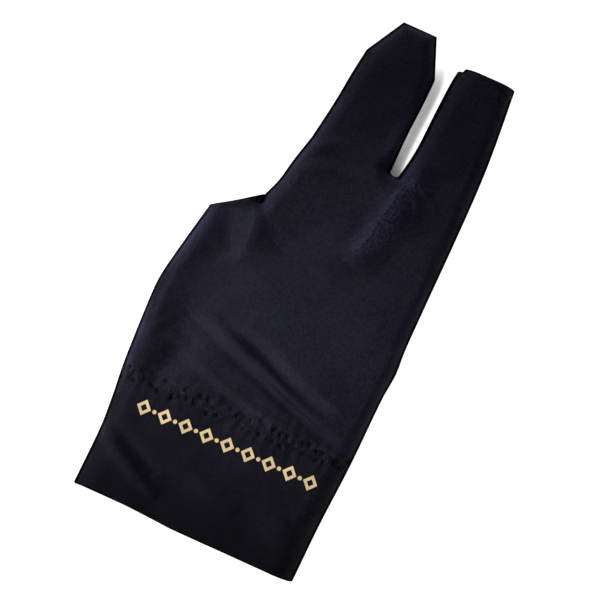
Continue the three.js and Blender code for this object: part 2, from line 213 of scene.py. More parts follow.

# %% [markdown]
# ## Folds
# Each soft fold on the back is a path across the pattern with a height and a width on either side of it.
# Cloth simulation could find such folds, but not the very ones of this glove, so they are laid one by one
# where they show. Paths are shares of the palm's width from the folded edge and of the crotch's height
# from the hem. Heights and widths are in millimetres, and a height below zero makes a groove or a hollow.
# A fold that runs down the hand has the folded edge on its fingerward side.

# %% Folds of the back
folds = [
    {"name": "crotch ridge",
     "path": [(0.236, 1.06), (0.24, 1.0), (0.252, 0.95), (0.274, 0.88), (0.3, 0.81), (0.328, 0.76)],
     "height": 2.6, "wristward": 3.1, "fingerward": 9.0},
    {"name": "crotch groove",
     "path": [(0.218, 0.988), (0.187, 0.930), (0.177, 0.873)],
     "height": -0.3, "wristward": 3.0, "fingerward": 3.0},
    {"name": "crotch fan",
     "path": [(0.224, 1.001), (0.154, 0.983), (0.080, 0.953)],
     "height": 0.5, "wristward": 1.5, "fingerward": 1.5},
    {"name": "crotch fan low",
     "path": [(0.231, 0.994), (0.186, 0.961), (0.144, 0.922)],
     "height": 0.35, "wristward": 1.4, "fingerward": 1.4},
    {"name": "palm saddle",
     "path": [(0.298, 0.819), (0.387, 0.761), (0.506, 0.701)],
     "height": 0.6, "wristward": 4.5, "fingerward": 4.5},
    {"name": "thumb ridge",
     "path": [(0.739, 0.803), (0.722, 0.748), (0.704, 0.686)],
     "height": 1.5, "wristward": 2.0, "fingerward": 6.0},
    {"name": "thumb hollow",
     "path": [(0.816, 0.764), (0.785, 0.703), (0.733, 0.651)],
     "height": -2.2, "wristward": 7.0, "fingerward": 2.8},
    {"name": "left hollow",
     "path": [(0.782, 0.664), (0.813, 0.589), (0.822, 0.52), (0.806, 0.418)],
     "height": -1.9, "wristward": 8.5, "fingerward": 13.0},
    {"name": "thumb groove",
     "path": [(0.716, 0.792), (0.637, 0.745), (0.548, 0.706)],
     "height": -0.2, "wristward": 1.8, "fingerward": 1.8},
    {"name": "thumb drag",
     "path": [(0.692, 0.801), (0.587, 0.759), (0.447, 0.710)],
     "height": 0.45, "wristward": 2.4, "fingerward": 2.4},
    {"name": "thumb drag low",
     "path": [(0.646, 0.769), (0.523, 0.726), (0.352, 0.670)],
     "height": -0.5, "wristward": 2.2, "fingerward": 2.2},
    {"name": "root ridge",
     "path": [(0.650, 0.978), (0.527, 1.013), (0.363, 1.013)],
     "height": 0.6, "wristward": 1.6, "fingerward": 1.8},
    {"name": "root groove",
     "path": [(0.643, 0.946), (0.522, 0.977), (0.363, 0.978)],
     "height": -0.6, "wristward": 1.8, "fingerward": 1.8},
    {"name": "root ridge low",
     "path": [(0.641, 0.914), (0.516, 0.944), (0.376, 0.943)],
     "height": 0.5, "wristward": 1.8, "fingerward": 1.8},
    {"name": "stall swell",
     "path": [(0.288, 1.25), (0.3, 1.174), (0.316, 1.11), (0.33, 1.05), (0.326, 1.01)],
     "height": 3.0, "wristward": 3.2, "fingerward": 2.5},
    {"name": "lower drag groove",
     "path": [(0.830, 0.488), (0.697, 0.461), (0.563, 0.432), (0.444, 0.412),
              (0.311, 0.385), (0.139, 0.353), (-0.027, 0.333)],
     "height": -1.5, "wristward": 2.0, "fingerward": 2.0},
    {"name": "drag ridge",
     "path": [(0.747, 0.506), (0.592, 0.472), (0.440, 0.442), (0.283, 0.406), (0.064, 0.369)],
     "height": 1.1, "wristward": 1.8, "fingerward": 1.8},
    {"name": "upper drag groove",
     "path": [(0.704, 0.518), (0.568, 0.492), (0.437, 0.462), (0.296, 0.424), (0.128, 0.396)],
     "height": -1.1, "wristward": 1.8, "fingerward": 2.4},
    {"name": "upper drag ridge",
     "path": [(0.644, 0.543), (0.473, 0.511), (0.311, 0.468), (0.112, 0.433), (-0.062, 0.433)],
     "height": 0.8, "wristward": 2.2, "fingerward": 5.0},
    {"name": "wrist ridge",
     "path": [(0.854, 0.433), (0.704, 0.401), (0.543, 0.371), (0.350, 0.345), (0.161, 0.323)],
     "height": 0.9, "wristward": 2.6, "fingerward": 2.2},
    {"name": "wrist groove",
     "path": [(0.729, 0.364), (0.577, 0.346), (0.399, 0.323)],
     "height": -0.5, "wristward": 2.2, "fingerward": 2.2},
    {"name": "side dent",
     "path": [(0.845, 0.3), (0.8, 0.36), (0.75, 0.445)],
     "height": -1.9, "wristward": 5.5, "fingerward": 7.0},
    {"name": "side ridge",
     "path": [(0.948, 0.378), (0.899, 0.429), (0.841, 0.480)],
     "height": 0.35, "wristward": 2.0, "fingerward": 2.0},
    {"name": "cuff ridge",
     "path": [(0.961, 0.185), (0.882, 0.136), (0.760, 0.095), (0.621, 0.053)],
     "height": 1.3, "wristward": 3.2, "fingerward": 2.6},
    {"name": "cuff crease",
     "path": [(0.93, 0.175), (0.85, 0.155), (0.76, 0.133), (0.66, 0.1)],
     "height": -1.1, "wristward": 1.8, "fingerward": 2.8},
    {"name": "cuff swell",
     "path": [(0.616, 0.164), (0.478, 0.136), (0.307, 0.110)],
     "height": 0.7, "wristward": 5.0, "fingerward": 5.0},
    {"name": "cuff hollow",
     "path": [(0.730, 0.066), (0.609, 0.019), (0.533, -0.013)],
     "height": -0.7, "wristward": 5.0, "fingerward": 5.0},
    {"name": "cuff end ridge",
     "path": [(0.256, 0.158), (0.161, 0.118), (0.079, 0.054)],
     "height": 0.6, "wristward": 5.0, "fingerward": 5.0},
]


def along_path(x, y, path):
    """Distance to a path, the side of it (1 left, -1 right) and the share of its length gone by."""
    lengths = [math.dist(a, b) for a, b in zip(path, path[1:])]
    total = sum(lengths)
    nearest = np.full(np.shape(x), np.inf)
    side = np.ones(np.shape(x))
    share = np.zeros(np.shape(x))
    gone = 0
    for (ax, ay), (bx, by), length in zip(path, path[1:], lengths):
        dx, dy = bx - ax, by - ay
        t = np.clip(((x - ax) * dx + (y - ay) * dy) / max(length**2, 1e-12), 0, 1)
        off_x, off_y = x - ax - t * dx, y - ay - t * dy
        distance = np.hypot(off_x, off_y)
        closer = distance < nearest
        nearest = np.where(closer, distance, nearest)
        side = np.where(closer, np.sign(dx * off_y - dy * off_x), side)
        share = np.where(closer, (gone + t * length) / max(total, 1e-12), share)
        gone += length
    return nearest, side, share


path_steps = 24
fold_reach = 3  # a fold has died away this many of its widths from the path
fade_power = 0.5  # how bluntly a fold fades at its two ends
inner_spread = 2.2  # the inner face has fewer points, so it only has the grooves, and wider ones


def smooth_path(points):
    """A curve through the points of a fold's path, in the pattern's frame."""
    places = np.array([(-across * palm_width, up * crotch_height) for across, up in points])
    gone = np.concatenate([[0], np.cumsum(np.hypot(*np.diff(places, axis=0).T))])
    rows = [{"at": at, "x": x, "y": y} for at, (x, y) in zip(gone / gone[-1], places)]
    shares = np.linspace(0, 1, path_steps + 1)
    return list(zip(read(rows, "x", shares), read(rows, "y", shares)))


def fold_lift(x, y, inner=False):
    """How far the folds lift the back at points of the pattern."""
    lift = np.zeros(np.shape(x))
    for fold in folds:
        if inner and fold["height"] > 0:
            continue
        path = smooth_path(fold["path"])
        spread = MM * (inner_spread if inner else 1)
        reach = fold_reach * spread * max(fold["fingerward"], fold["wristward"])
        low, high = np.min(path, axis=0) - reach, np.max(path, axis=0) + reach
        near = (x > low[0]) & (x < high[0]) & (y > low[1]) & (y < high[1])
        if near.any():
            distance, side, share = along_path(x[near], y[near], path)
            width = np.where(side > 0, fold["fingerward"], fold["wristward"]) * spread
            fade = np.sin(math.pi * share) ** fade_power
            lift[near] += fold["height"] * MM * fade * np.exp(-((distance / width) ** 2))
    return lift


slack_count = 12
slack_lengths = (14, 42)  # the shortest and the longest wave, in millimetres
slack_height = 0.11 * MM  # of a wave of the middle length
slack_middle = 28 * MM
phase_limit = 6.3  # about a full turn
waves = np.random.default_rng(7)
slack_waves = [
    {"length": waves.uniform(*slack_lengths) * MM, "heading": waves.uniform(0, math.pi),
     "phase": waves.uniform(0, phase_limit)}
    for _ in range(slack_count)
]


def slack_lift(x, y):
    """Slight waves of loosely lying cloth, the long ones higher than the short ones."""
    lift = np.zeros(np.shape(x))
    for wave in slack_waves:
        along = x * math.cos(wave["heading"]) + y * math.sin(wave["heading"])
        height = slack_height * wave["length"] / slack_middle
        lift += height * np.sin(2 * math.pi * along / wave["length"] + wave["phase"])
    return lift


print(len(folds), "folds")

# %% [markdown]
# ## Puckers along the stitched line
# A zigzag stitch in stretched knit draws the cloth in. It leaves a shallow valley, a dimple at every
# point where the thread goes through, and small gathers that die away on both sides. Bump in the material
# could suggest them, but real dips in the mesh catch the light from every side.

# %% The stitched line and its puckers
zigzag_pitch = 3.1 * MM  # from one point of the zigzag to the next on the same side
zigzag_width = 3.6 * MM
valley_depth = 0.5 * MM
valley_half_width = 1.9 * MM
dimple_depth = 0.95 * MM
dimple_radius = 0.9 * MM
gather_height = 0.2 * MM
gather_pitch = 4.6 * MM
second_height = 0.7  # a second row of gathers, in shares of the first, keeps it from looking regular
second_pitch = 1.63 * gather_pitch
gather_reach = 5 * MM
gather_start = 2 * MM
stray_along, stray_across = 0.4 * MM, 0.9 * MM  # how far the dimples stray from an even zigzag
radius_shares, depth_shares = (0.6, 1.4), (0.1, 1.2)

chance = np.random.default_rng(11)
dimples = []
for place in np.arange(-cuff_width - zigzag_pitch, 2 * fold_bow, zigzag_pitch / 2):
    way = 1 if len(dimples) % 2 else -1
    dimples.append({
        "x": place + chance.normal(0, stray_along),
        "off": way * zigzag_width / 2 + chance.normal(0, stray_across),
        "radius": dimple_radius * chance.uniform(*radius_shares),
        "depth": dimple_depth * chance.uniform(*depth_shares),
    })
print(len(dimples), "dimples")


def dimple_dip(x, y):
    """The dimples alone: one where the thread goes in at each point of the zigzag."""
    dip = np.zeros(np.shape(x))
    near = np.abs(y - cuff_depth) < 3 * zigzag_width
    if near.any():
        x_near, off_near = x[near], y[near] - cuff_depth
        for dimple in dimples:
            reach = np.hypot(x_near - dimple["x"], off_near - dimple["off"])
            dip[near] += dimple["depth"] * np.exp(-((reach / dimple["radius"]) ** 2))
    return dip


def pucker_dip(x, y):
    """How far the stitching draws the cloth in, around the line at the top of the cuff."""
    off = np.abs(y - cuff_depth)
    dip = valley_depth * np.exp(-((off / valley_half_width) ** 2)) + dimple_dip(x, y)
    first = np.sin(2 * math.pi * x / gather_pitch)
    second = second_height * np.sin(2 * math.pi * x / second_pitch + 1)
    gathers = gather_height * (first + second) * np.exp(-off / gather_reach)
    return dip + gathers * (1 - np.exp(-off / gather_start))


# %% [markdown]
# ## One face of the cloth
# The outer and the inner face of a layer of cloth follow the same rules. So a class holds the outline
# moved in by a thickness, with the heights of the back and the palm side above the table. A distance to
# the nearest closed edge drives a quarter ellipse, which rolls the cloth over as a seam or a fold does.

# %% The outline and heights of a face
seam_steps = 40
corner_blend = 7  # a higher power keeps the distance sharper where two edges come close
notch_slope = 0.35  # the share of the notch's depth over which it opens
thumb_part, slit_part = 0.19, 0.64  # where the strips part at the wrist hem, in shares of its width


def rolled(distance, width):
    """Quarter of an ellipse: 0 at a seam, 1 where the roll has ended."""
    t = np.clip(distance / width, 0, 1)
    return np.sqrt(1 - (1 - t) ** 2)


class Face:
    """The glove's outline and heights, moved inwards by the thickness of its cloth."""

    def __init__(self, thickness):
        self.thickness = thickness
        self.crotch_right = float(self.short_side(np.array(crotch_height)))
        self.crotch_left = self.crotch_right - slit_width - 2 * thickness
        self.long_base = self.crotch_left + thickness - long_width / 2
        self.crotch_y = crotch_height - thickness
        self.tip_y = long_top - thickness
        self.seams = self.closed_edges()

    def panel_edge(self, y):
        return fold_bow * read(fold_edge_rows, "swell", y / short_top) - self.thickness

    def fold_edge(self, y):
        return self.panel_edge(y) + fold_bow * read(fold_edge_rows, "kink", y / short_top)

    def side_seam(self, y):
        share = y / thumb_outer_height
        palm = mix(cuff_width, palm_width, read(body_rows, "to_palm", share))
        width = mix(palm, shoulder_width, read(body_rows, "to_shoulder", share))
        return self.panel_edge(y) + 2 * self.thickness - width

    def short_side(self, y):
        share = read(short_rows, "to_end", (y - crotch_height) / (short_top - crotch_height))
        notch = corner_notch * np.clip((y - short_top + notch_depth) / (notch_slope * notch_depth), 0, 1)
        return self.fold_edge(y) + 2 * self.thickness - mix(short_width, short_end_width, share) + notch

    def long_centre(self, y):
        return self.long_base + long_lean * (y - crotch_height) / (long_top - crotch_height)

    def long_half(self, y):
        share = read(long_rows, "width", (y - crotch_height) / (taper_start - crotch_height))
        taper = np.clip((y - taper_start) / long_taper, 0, 1)
        return mix(long_width / 2 * share, long_tip_width / 2, taper) - self.thickness

    def long_left(self, y):
        gone = read(root_rows, "gone", (y - thumb_height) / (crotch_height - thumb_height))
        root = self.long_centre(crotch_height) - self.long_half(np.array(crotch_height))
        opening = self.fold_edge(thumb_height) + 2 * self.thickness - knuckle_width
        below = mix(opening, root, gone)
        return np.where(y >= crotch_height, self.long_centre(y) - self.long_half(y), below)

    def long_right(self, y):
        return self.long_centre(y) + self.long_half(y)

    def on_hem(self, share):
        return mix(self.side_seam(np.array(0.0)), self.fold_edge(np.array(0.0)), share)

    def thumb_guide(self, y):
        below = mix(self.on_hem(thumb_part), self.long_left(np.array(thumb_height)), y / thumb_height)
        return np.where(y >= thumb_height, self.long_left(y), below)

    def slit_left(self, y):
        below = mix(self.on_hem(slit_part) - slit_width / 2, self.crotch_left, y / crotch_height)
        return np.where(y >= crotch_height, self.long_right(y), below)

    def slit_right(self, y):
        below = mix(self.on_hem(slit_part) + slit_width / 2, self.crotch_right, y / crotch_height)
        return np.where(y >= crotch_height, self.short_side(y), below)

    def closed_edges(self):
        """The edges where the back and the palm side meet, each as a path."""

        def line(edge, start, end):
            y = np.linspace(start, end, seam_steps)
            return list(zip(edge(y), y))

        left_tip = (float(self.long_left(np.array(self.tip_y))), self.tip_y)
        right_tip = (float(self.long_right(np.array(self.tip_y))), self.tip_y)
        return [
            line(self.side_seam, 0, thumb_outer_height),
            line(self.thumb_guide, thumb_height - hem_depth - sewing_gap, taper_start),
            line(self.thumb_guide, taper_start, self.tip_y),
            [left_tip, right_tip],
            line(self.long_right, taper_start, self.tip_y),
            line(self.long_right, crotch_height, taper_start),
            [(self.crotch_left, self.crotch_y), (self.crotch_right, self.crotch_y)],
            line(self.short_side, crotch_height, short_top),
            line(self.fold_edge, 0, short_top),
        ]

    def distance_to_seam(self, x, y):
        """Distance to the nearest closed edge, blended where two of them are near."""
        total = np.zeros(np.shape(x))
        for seam in self.seams:
            distance = np.maximum(along_path(x, y, seam)[0], 1e-7)
            total += (distance / MM) ** -corner_blend
        return MM * total ** (-1 / corner_blend)

    def loft(self, y):
        share = y / long_top
        palm = mix(cuff_loft, palm_loft, read(loft_rows, "to_palm", share))
        return mix(palm, stall_loft, read(loft_rows, "to_stall", share))

    def back(self, x, y, on_seam):
        """Height of the back above the table."""
        distance = self.distance_to_seam(x, y)
        width = mix(cuff_roll, palm_roll, read(roll_rows, "to_palm", y / long_top)) - self.thickness
        roll = rolled(distance, width)
        rise = self.loft(y) - self.thickness - seam_height
        folded = fold_lift(x, y, self.thickness > 0) + slack_lift(x, y)
        height = seam_height + rise * roll + folded * roll**2
        if self.thickness == 0:
            height -= pucker_dip(x, y) * roll
        return np.where(on_seam, seam_height, height)

    def palm(self, x, y, on_seam):
        """Height of the palm side above the table."""
        distance = self.distance_to_seam(x, y)
        roll = rolled(distance, under_roll - self.thickness)
        height = seam_height - (seam_height - self.thickness) * roll
        if self.thickness == 0:
            height += pucker_dip(x, y) * roll
        return np.where(on_seam, seam_height, height)


outer_face = Face(0)
print("crotch at", round(outer_face.crotch_left, 4), round(outer_face.crotch_right, 4))

# %% [markdown]
# ## Grids of cloth points
# The cloth is laid out in strips that run from the wrist to the fingers, as the pieces of a pattern do:
# one to the thumb opening, one into each stall and a narrow one to the crotch. Rows and columns lie close
# together at a rolled edge and along the stitched line, and further apart where the cloth is flat.

# %% Strips, rows and columns
crowding = 0.92  # 0 leaves the shares even, 1 draws them to an end as a circle does
left_crowding = 0.85
sag_power = 60  # a high power keeps the sag to the last rows before the crotch


def toward_ends(count, left=True, right=True):
    """Shares from 0 to 1 that lie closer together at the named ends."""
    s = np.linspace(0, 1, count + 1)
    if left and right:
        return mix(s, 0.5 - 0.5 * np.cos(math.pi * s), crowding)
    if left:
        return mix(s, 1 - np.cos(math.pi / 2 * s), left_crowding)
    if right:
        return mix(s, np.sin(math.pi / 2 * s), crowding)
    return s


def bow(shares):
    """A curve that is 0 at both ends and 1 in the middle."""
    return 4 * (shares * (1 - shares))


thumb_columns = toward_ends(46, right=False)
long_columns = toward_ends(92)
slit_columns = toward_ends(8, left=False, right=False)
short_columns = toward_ends(76)
middle_of_long, middle_of_short = len(long_columns) // 2, len(short_columns) // 2


def stations(*stretches):
    """Heights from one place to the next, for (from, to, count, closer at the end) stretches."""
    heights = [np.array([stretches[0][0]])]
    for start, end, count, closer in stretches:
        shares = toward_ends(count, left="start" in closer, right="end" in closer)
        heights.append(mix(start, end, shares)[1:])
    return np.concatenate(heights)


class Strip:
    """A grid of pattern points, with those on a closed edge marked."""

    def __init__(self, x, y, left=False, right=False, anchor=0):
        self.x, self.y = x, y
        self.on_seam = np.zeros(x.shape, bool)
        self.on_seam[:, 0] |= left
        self.on_seam[:, -1] |= right
        self.anchor = anchor
        self.joins = None  # the strip beside it, for the distance along the row


def strip_between(face, left_edge, right_edge, y, columns, left, right, anchor):
    x = mix(left_edge(y)[:, None], right_edge(y)[:, None], columns[None, :])
    rows = np.where(y == crotch_height, face.crotch_y, y)
    return Strip(x, np.repeat(rows[:, None], len(columns), axis=1), left, right, anchor)


def thumb_strip(face, y, inset, right):
    """The strip that ends in the slanting thumb opening: its rows tilt more and more."""
    tilt = np.clip((y - cuff_depth) / (thumb_height - cuff_depth), 0, 1) ** 2
    left_y = y - thumb_rise * tilt
    left, opening = face.side_seam(left_y), face.thumb_guide(y) - inset
    x = mix(left[:, None], opening[:, None], thumb_columns[None, :])
    rows = mix(left_y[:, None], y[:, None], thumb_columns[None, :])
    rows = rows - thumb_sag * tilt[:, None] * bow(thumb_columns)[None, :]
    return Strip(x, rows, True, right, anchor=-1)


def body_strips(face, y, knuckle_from):
    at_crotch = y == crotch_height
    above = y >= knuckle_from
    long = strip_between(
        face, face.thumb_guide, face.slit_left, y, long_columns, above, at_crotch, middle_of_long)
    slit = strip_between(face, face.slit_left, face.slit_right, y, slit_columns, at_crotch, at_crotch, 0)
    slit.on_seam[at_crotch] = True
    sag = crotch_sag * bow(slit_columns)[None, :]
    slit.y = slit.y - sag * (y[:, None] / crotch_height) ** sag_power
    short = strip_between(face, face.slit_right, face.fold_edge, y, short_columns, at_crotch, True, 0)
    return long, slit, short


palm_columns = (thumb_columns, long_columns, slit_columns, short_columns)
print("columns across the palm:", sum(len(columns) - 1 for columns in palm_columns))

# %% [markdown]
# ## Closed pieces of cloth
# Each piece is sewn from a back and a palm side, and each side has an outer and an inner face. A maker
# collects their grids and merges them into one closed mesh. It keeps for the materials how far each
# point is from an edge, how far a dimple draws it in and how far a fold lifts it.

# %% Joining the faces
weld_distance = 2e-6
sharp_angle = math.radians(65)


def arc_lengths(points, anchor):
    """Distance along each row of points, counted from the anchor column."""
    steps = np.linalg.norm(np.diff(points, axis=1), axis=2)
    lengths = np.concatenate([np.zeros((len(points), 1)), np.cumsum(steps, axis=1)], axis=1)
    return lengths - lengths[:, [anchor]]


def grid_quads(rows, columns, first):
    """The four points of every face of a grid, whose points are numbered on from the first."""
    index = np.arange(rows * columns).reshape(rows, columns) + first
    corners = [index[:-1, :-1], index[:-1, 1:], index[1:, 1:], index[1:, :-1]]
    return np.stack(corners, axis=-1).reshape(-1, 4)


def show_piece(name, mesh):
    """A finished mesh as an object in the scene."""
    piece = bpy.data.objects.new(name, mesh)
    bpy.context.scene.collection.objects.link(piece)
    print(name, "triangles", sum(len(face.vertices) - 2 for face in mesh.polygons))
    return piece


class ClothMaker:
    """Collects grids of points and makes one closed mesh of them."""

    def __init__(self):
        self.points, self.quads, self.uv = [], [], []
        self.marks = {"from_edge": [], "drawn_in": [], "highlight_lift": []}

    def add(self, points, uv, marks, turned):
        """One grid. Its marks are a distance at every point, in the order of self.marks."""
        quads = grid_quads(*points.shape[:2], sum(map(len, self.points)))
        self.quads.append(quads[:, ::-1] if turned else quads)
        self.points.append(points.reshape(-1, 3))
        self.uv.append(uv.reshape(-1, 2))
        for kept, values in zip(self.marks.values(), marks):
            kept.append(values.reshape(-1))

    def finish(self, name):
        mesh = bpy.data.meshes.new(name)
        quads = np.concatenate(self.quads)
        placed = np.concatenate(self.points) + pattern_place
        mesh.from_pydata(placed.tolist(), [], quads.tolist())
        uv_map = mesh.uv_layers.new(name="cloth")
        uv_map.data.foreach_set("uv", (np.concatenate(self.uv)[quads.reshape(-1)] / MM).reshape(-1))
        for label, values in self.marks.items():
            attribute = mesh.attributes.new(label, "FLOAT", "POINT")
            attribute.data.foreach_set("value", np.concatenate(values) / MM)
        shape = bmesh.new()
        shape.from_mesh(mesh)
        bmesh.ops.remove_doubles(shape, verts=shape.verts, dist=weld_distance)
        print(name, "open edges", sum(not edge.is_manifold for edge in shape.edges))
        shape.to_mesh(mesh)
        shape.free()
        mesh.polygons.foreach_set("use_smooth", [True] * len(mesh.polygons))
        mesh.set_sharp_from_angle(angle=sharp_angle)
        mesh.update()
        return show_piece(name, mesh)


# %% [markdown]
# ## Openings
# The glove is open at the wrist, at the thumb and at the short stall's end. Where cloth is turned in at
# such an opening its edge is round, so a half circle of points joins the two faces there. Where two
# pieces are sewn to each other the edge stays flat.

# %% The edges of the cloth
round_steps = 6
turned_rim = 0.5 * MM  # a turned edge is shaded like cloth this near to a seam
sewn_rim = 5 * MM  # and a sewn one like cloth this far from any


class Opening:
    """A row of points where the cloth ends, the way out of it and whether its edge is turned."""

    def __init__(self, strips, row, out, turned):
        parts = [(s.x[row], s.y[row], s.on_seam[row]) for s in strips]
        joined = [parts[0]] + [tuple(a[1:] for a in part) for part in parts[1:]]
        x, y, on_seam = (np.concatenate(column) for column in zip(*joined))
        self.strip = Strip(x[None, :], y[None, :])
        self.strip.on_seam = on_seam[None, :]
        self.out = np.array([out[0], out[1], 0.0]) / math.hypot(*out)
        self.turned = turned


def unmoved(x, y):
    return np.zeros(np.shape(x))


def lifted(strip, height, shift):
    """The strip's points in space, with any part of the back drawn up along the glove."""
    z = height(strip.x, strip.y, strip.on_seam)
    moved = np.where(strip.on_seam, 0, shift(strip.x, strip.y))
    return np.stack([strip.x, strip.y + moved, z], axis=-1)


def add_rim(maker, outer, inner, opening, side, thickness):
    """The edge of the cloth at an opening, from its outer face round to its inner one."""
    middle, half = (outer + inner) / 2, (outer - inner) / 2
    radius = np.minimum(np.linalg.norm(half, axis=1), thickness / 2)[:, None]
    turns = np.linspace(0, math.pi, (round_steps if opening.turned else 1) + 1)
    bulge = radius * opening.out if opening.turned else 0 * half
    rows = [middle + half * math.cos(turn) + bulge * math.sin(turn) for turn in turns]
    points = np.stack([outer, *rows[1:-1], inner])
    along = np.repeat(arc_lengths(outer[None], 0), len(points), axis=0)
    across = np.repeat(outer[None, :, 1], len(points), axis=0) + thickness / 2 * turns[:, None]
    faces_up = opening.out[1] > 0
    turned = faces_up if side == "palm" else not faces_up
    depth = np.full(points.shape[:2], turned_rim if opening.turned else sewn_rim)
    maker.add(points, np.stack([along, across], axis=-1), (depth, 0 * depth, 0 * depth), turned)


def make_cloth(name, strips_of, thickness, back_shift=unmoved):
    """One piece of cloth as a closed mesh: strips_of(face, fine) gives its strips and openings."""
    maker = ClothMaker()
    sides = {}
    for face, fine in ((outer_face, True), (Face(thickness), False)):
        strips, openings = strips_of(face, fine)
        for side, shift in (("back", back_shift), ("palm", unmoved)):
            height = getattr(face, side)
            grids = {}
            for label, strip in strips.items():
                grid = lifted(strip, height, shift)
                along = arc_lengths(grid, strip.anchor)
                if strip.joins:
                    neighbour, column, own = strip.joins
                    base = grids[neighbour][: len(along), column] if own is None else own(grids)
                    along = along + np.reshape(base, (-1, 1))
                grids[label] = along
                depth = face.distance_to_seam(strip.x, strip.y)
                dip = dimple_dip(strip.x, strip.y) if fine else np.zeros(strip.x.shape)
                lift = fold_lift(strip.x, strip.y) if fine and side == "back" else 0 * dip
                turned = (side == "palm") == fine
                maker.add(grid, np.stack([along, strip.y], axis=-1), (depth, dip, lift), turned)
            sides[side, fine] = [lifted(opening.strip, height, shift)[0] for opening in openings]
    for k, opening in enumerate(openings):
        for side in ("back", "palm"):
            add_rim(maker, sides[side, True][k], sides[side, False][k], opening, side, thickness)
    return maker.finish(name)


# %% [markdown]
# ## The four pieces
# The main panel, the cuff and the two turned hems stand for the four parts of the imported model, and each
# has the rows of points that its own shape needs. The cuff's back layer ends a little short of its palm
# layer at the left, where the doubled hem has slipped.

# %% Rows of each piece
drawn_gap = 0.01 * MM  # the thread draws the two edges together
cuff_end = cuff_depth - drawn_gap / 2
shell_start = cuff_depth + drawn_gap / 2
thumb_hem_start = thumb_height - hem_depth
shell_end = thumb_hem_start - drawn_gap
short_hem_start = short_top - hem_depth
stitched_reach = 7 * MM  # rows lie closer together this near to the stitched line
coarse = 5  # the inner faces have rows this many times further apart
row_steps = {
    "cuff": 0.8 * MM,
    "stitched": 0.4 * MM,
    "palm": 1 * MM,
    "knuckles": 0.85 * MM,
    "stall": 0.9 * MM,
    "tip": 0.5 * MM,
    "hem": 0.3 * MM,
}


def row_count(length, part, fine):
    step = row_steps[part]
    return max(2, round(length / (step if fine else coarse * step)))


def join_body(thumb, long, slit, short):
    """The four strips of the hand's width, each one's cloth map run on from the strip beside it."""
    thumb.joins, slit.joins, short.joins = ("long", 0, None), ("long", -1, None), ("slit", -1, None)
    return {"long": long, "thumb": thumb, "slit": slit, "short": short}


def shell_strips(face, fine):
    near = row_count(stitched_reach, "stitched", fine)
    palm_rows = row_count(shell_end - shell_start - stitched_reach, "palm", fine)
    knuckle_rows = row_count(crotch_height - shell_end, "knuckles", fine)
    reach = shell_start + stitched_reach
    palm_y = stations((shell_start, reach, near, ""), (reach, shell_end, palm_rows, ""))
    body_y = np.concatenate([palm_y, stations((shell_end, crotch_height, knuckle_rows, "end"))[1:]])
    body_y[-1] = crotch_height
    thumb = thumb_strip(face, palm_y, 0, right=False)
    thumb.on_seam[-1, -1] = True
    long, slit, short = body_strips(face, body_y, shell_end)
    stall_y = stations(
        (crotch_height, taper_start, row_count(taper_start - crotch_height, "stall", fine), "start"),
        (taper_start, face.tip_y, row_count(long_taper, "tip", fine), "end"),
    )
    stall_y[0], stall_y[-1] = crotch_height, face.tip_y
    long_stall = strip_between(
        face, face.thumb_guide, face.slit_left, stall_y, long_columns, True, True, middle_of_long)
    long_stall.on_seam[-1] = True
    end = short_hem_start - drawn_gap
    short_y = stations((crotch_height, end, row_count(end - crotch_height, "stall", fine), "start"))
    short_y[0] = crotch_height
    short_stall = strip_between(
        face, face.slit_right, face.fold_edge, short_y, short_columns, True, True, middle_of_short)
    short_stall.joins = ("short", None, lambda grids: grids["short"][-1, middle_of_short])
    strips = join_body(thumb, long, slit, short)
    strips |= {"long_stall": long_stall, "short_stall": short_stall}
    openings = [
        Opening([thumb, long, slit, short], 0, (0, -1), False),
        Opening([thumb], -1, (-thumb_rise, thumb_span), False),
        Opening([short_stall], -1, (0, 1), False),
    ]
    return strips, openings


def cuff_strips(face, fine):
    hem = turned_knit / 2
    far = cuff_end - stitched_reach
    rows = stations(
        (hem, far, row_count(far - hem, "cuff", fine), "start"),
        (far, cuff_end, row_count(stitched_reach, "stitched", fine), ""),
    )
    around = [thumb_strip(face, rows, 0, right=False), *body_strips(face, rows, shell_end)]
    return join_body(*around), [Opening(around, 0, (0, -1), True), Opening(around, -1, (0, 1), False)]


def hem_rows(start, end, fine):
    return stations((start, end - turned_knit / 2, row_count(hem_depth, "hem", fine), ""))


def thumb_hem_strips(face, fine):
    hem = thumb_strip(face, hem_rows(thumb_hem_start, thumb_height, fine), drawn_gap, right=True)
    out = (-thumb_rise, thumb_span)
    return {"hem": hem}, [Opening([hem], 0, (-out[0], -out[1]), False), Opening([hem], -1, out, True)]


def short_hem_strips(face, fine):
    rows = hem_rows(short_hem_start, short_top, fine)
    hem = strip_between(
        face, face.slit_right, face.fold_edge, rows, short_columns, True, True, middle_of_short)
    return {"hem": hem}, [Opening([hem], 0, (0, -1), False), Opening([hem], -1, (0, 1), True)]


hem_slip = 1.5 * MM
slip_reach = 42 * MM
slip_height = 9 * MM
slip_power = 0.55  # under 1, the slip is greatest near the cuff's corner


def cuff_slip(x, y):
    """How far the cuff's back layer is drawn up from the hem, near its left corner."""
    share = np.clip((x + cuff_width) / slip_reach, 0, 1)
    return hem_slip * np.sin(math.pi * share**slip_power) * np.exp(-y / slip_height)


glove_cloth = make_cloth("glove_cloth", shell_strips, knit)
cuff_cloth = make_cloth("cuff_cloth", cuff_strips, turned_knit, cuff_slip)
thumb_hem_cloth = make_cloth("thumb_hem_cloth", thumb_hem_strips, turned_knit)
short_hem_cloth = make_cloth("short_hem_cloth", short_hem_strips, turned_knit)

# %% [markdown]
# ## Building with nodes
# Thread, cloth and light all use nodes. They could be drawn by hand in the node editor, but a script
# needs only a few helpers: one adds a node, one gives a socket its number, colour or link, and the rest
# make common steps.

# %% Helpers for nodes
nodes_a_row = 8
node_spacing = (220, -320)


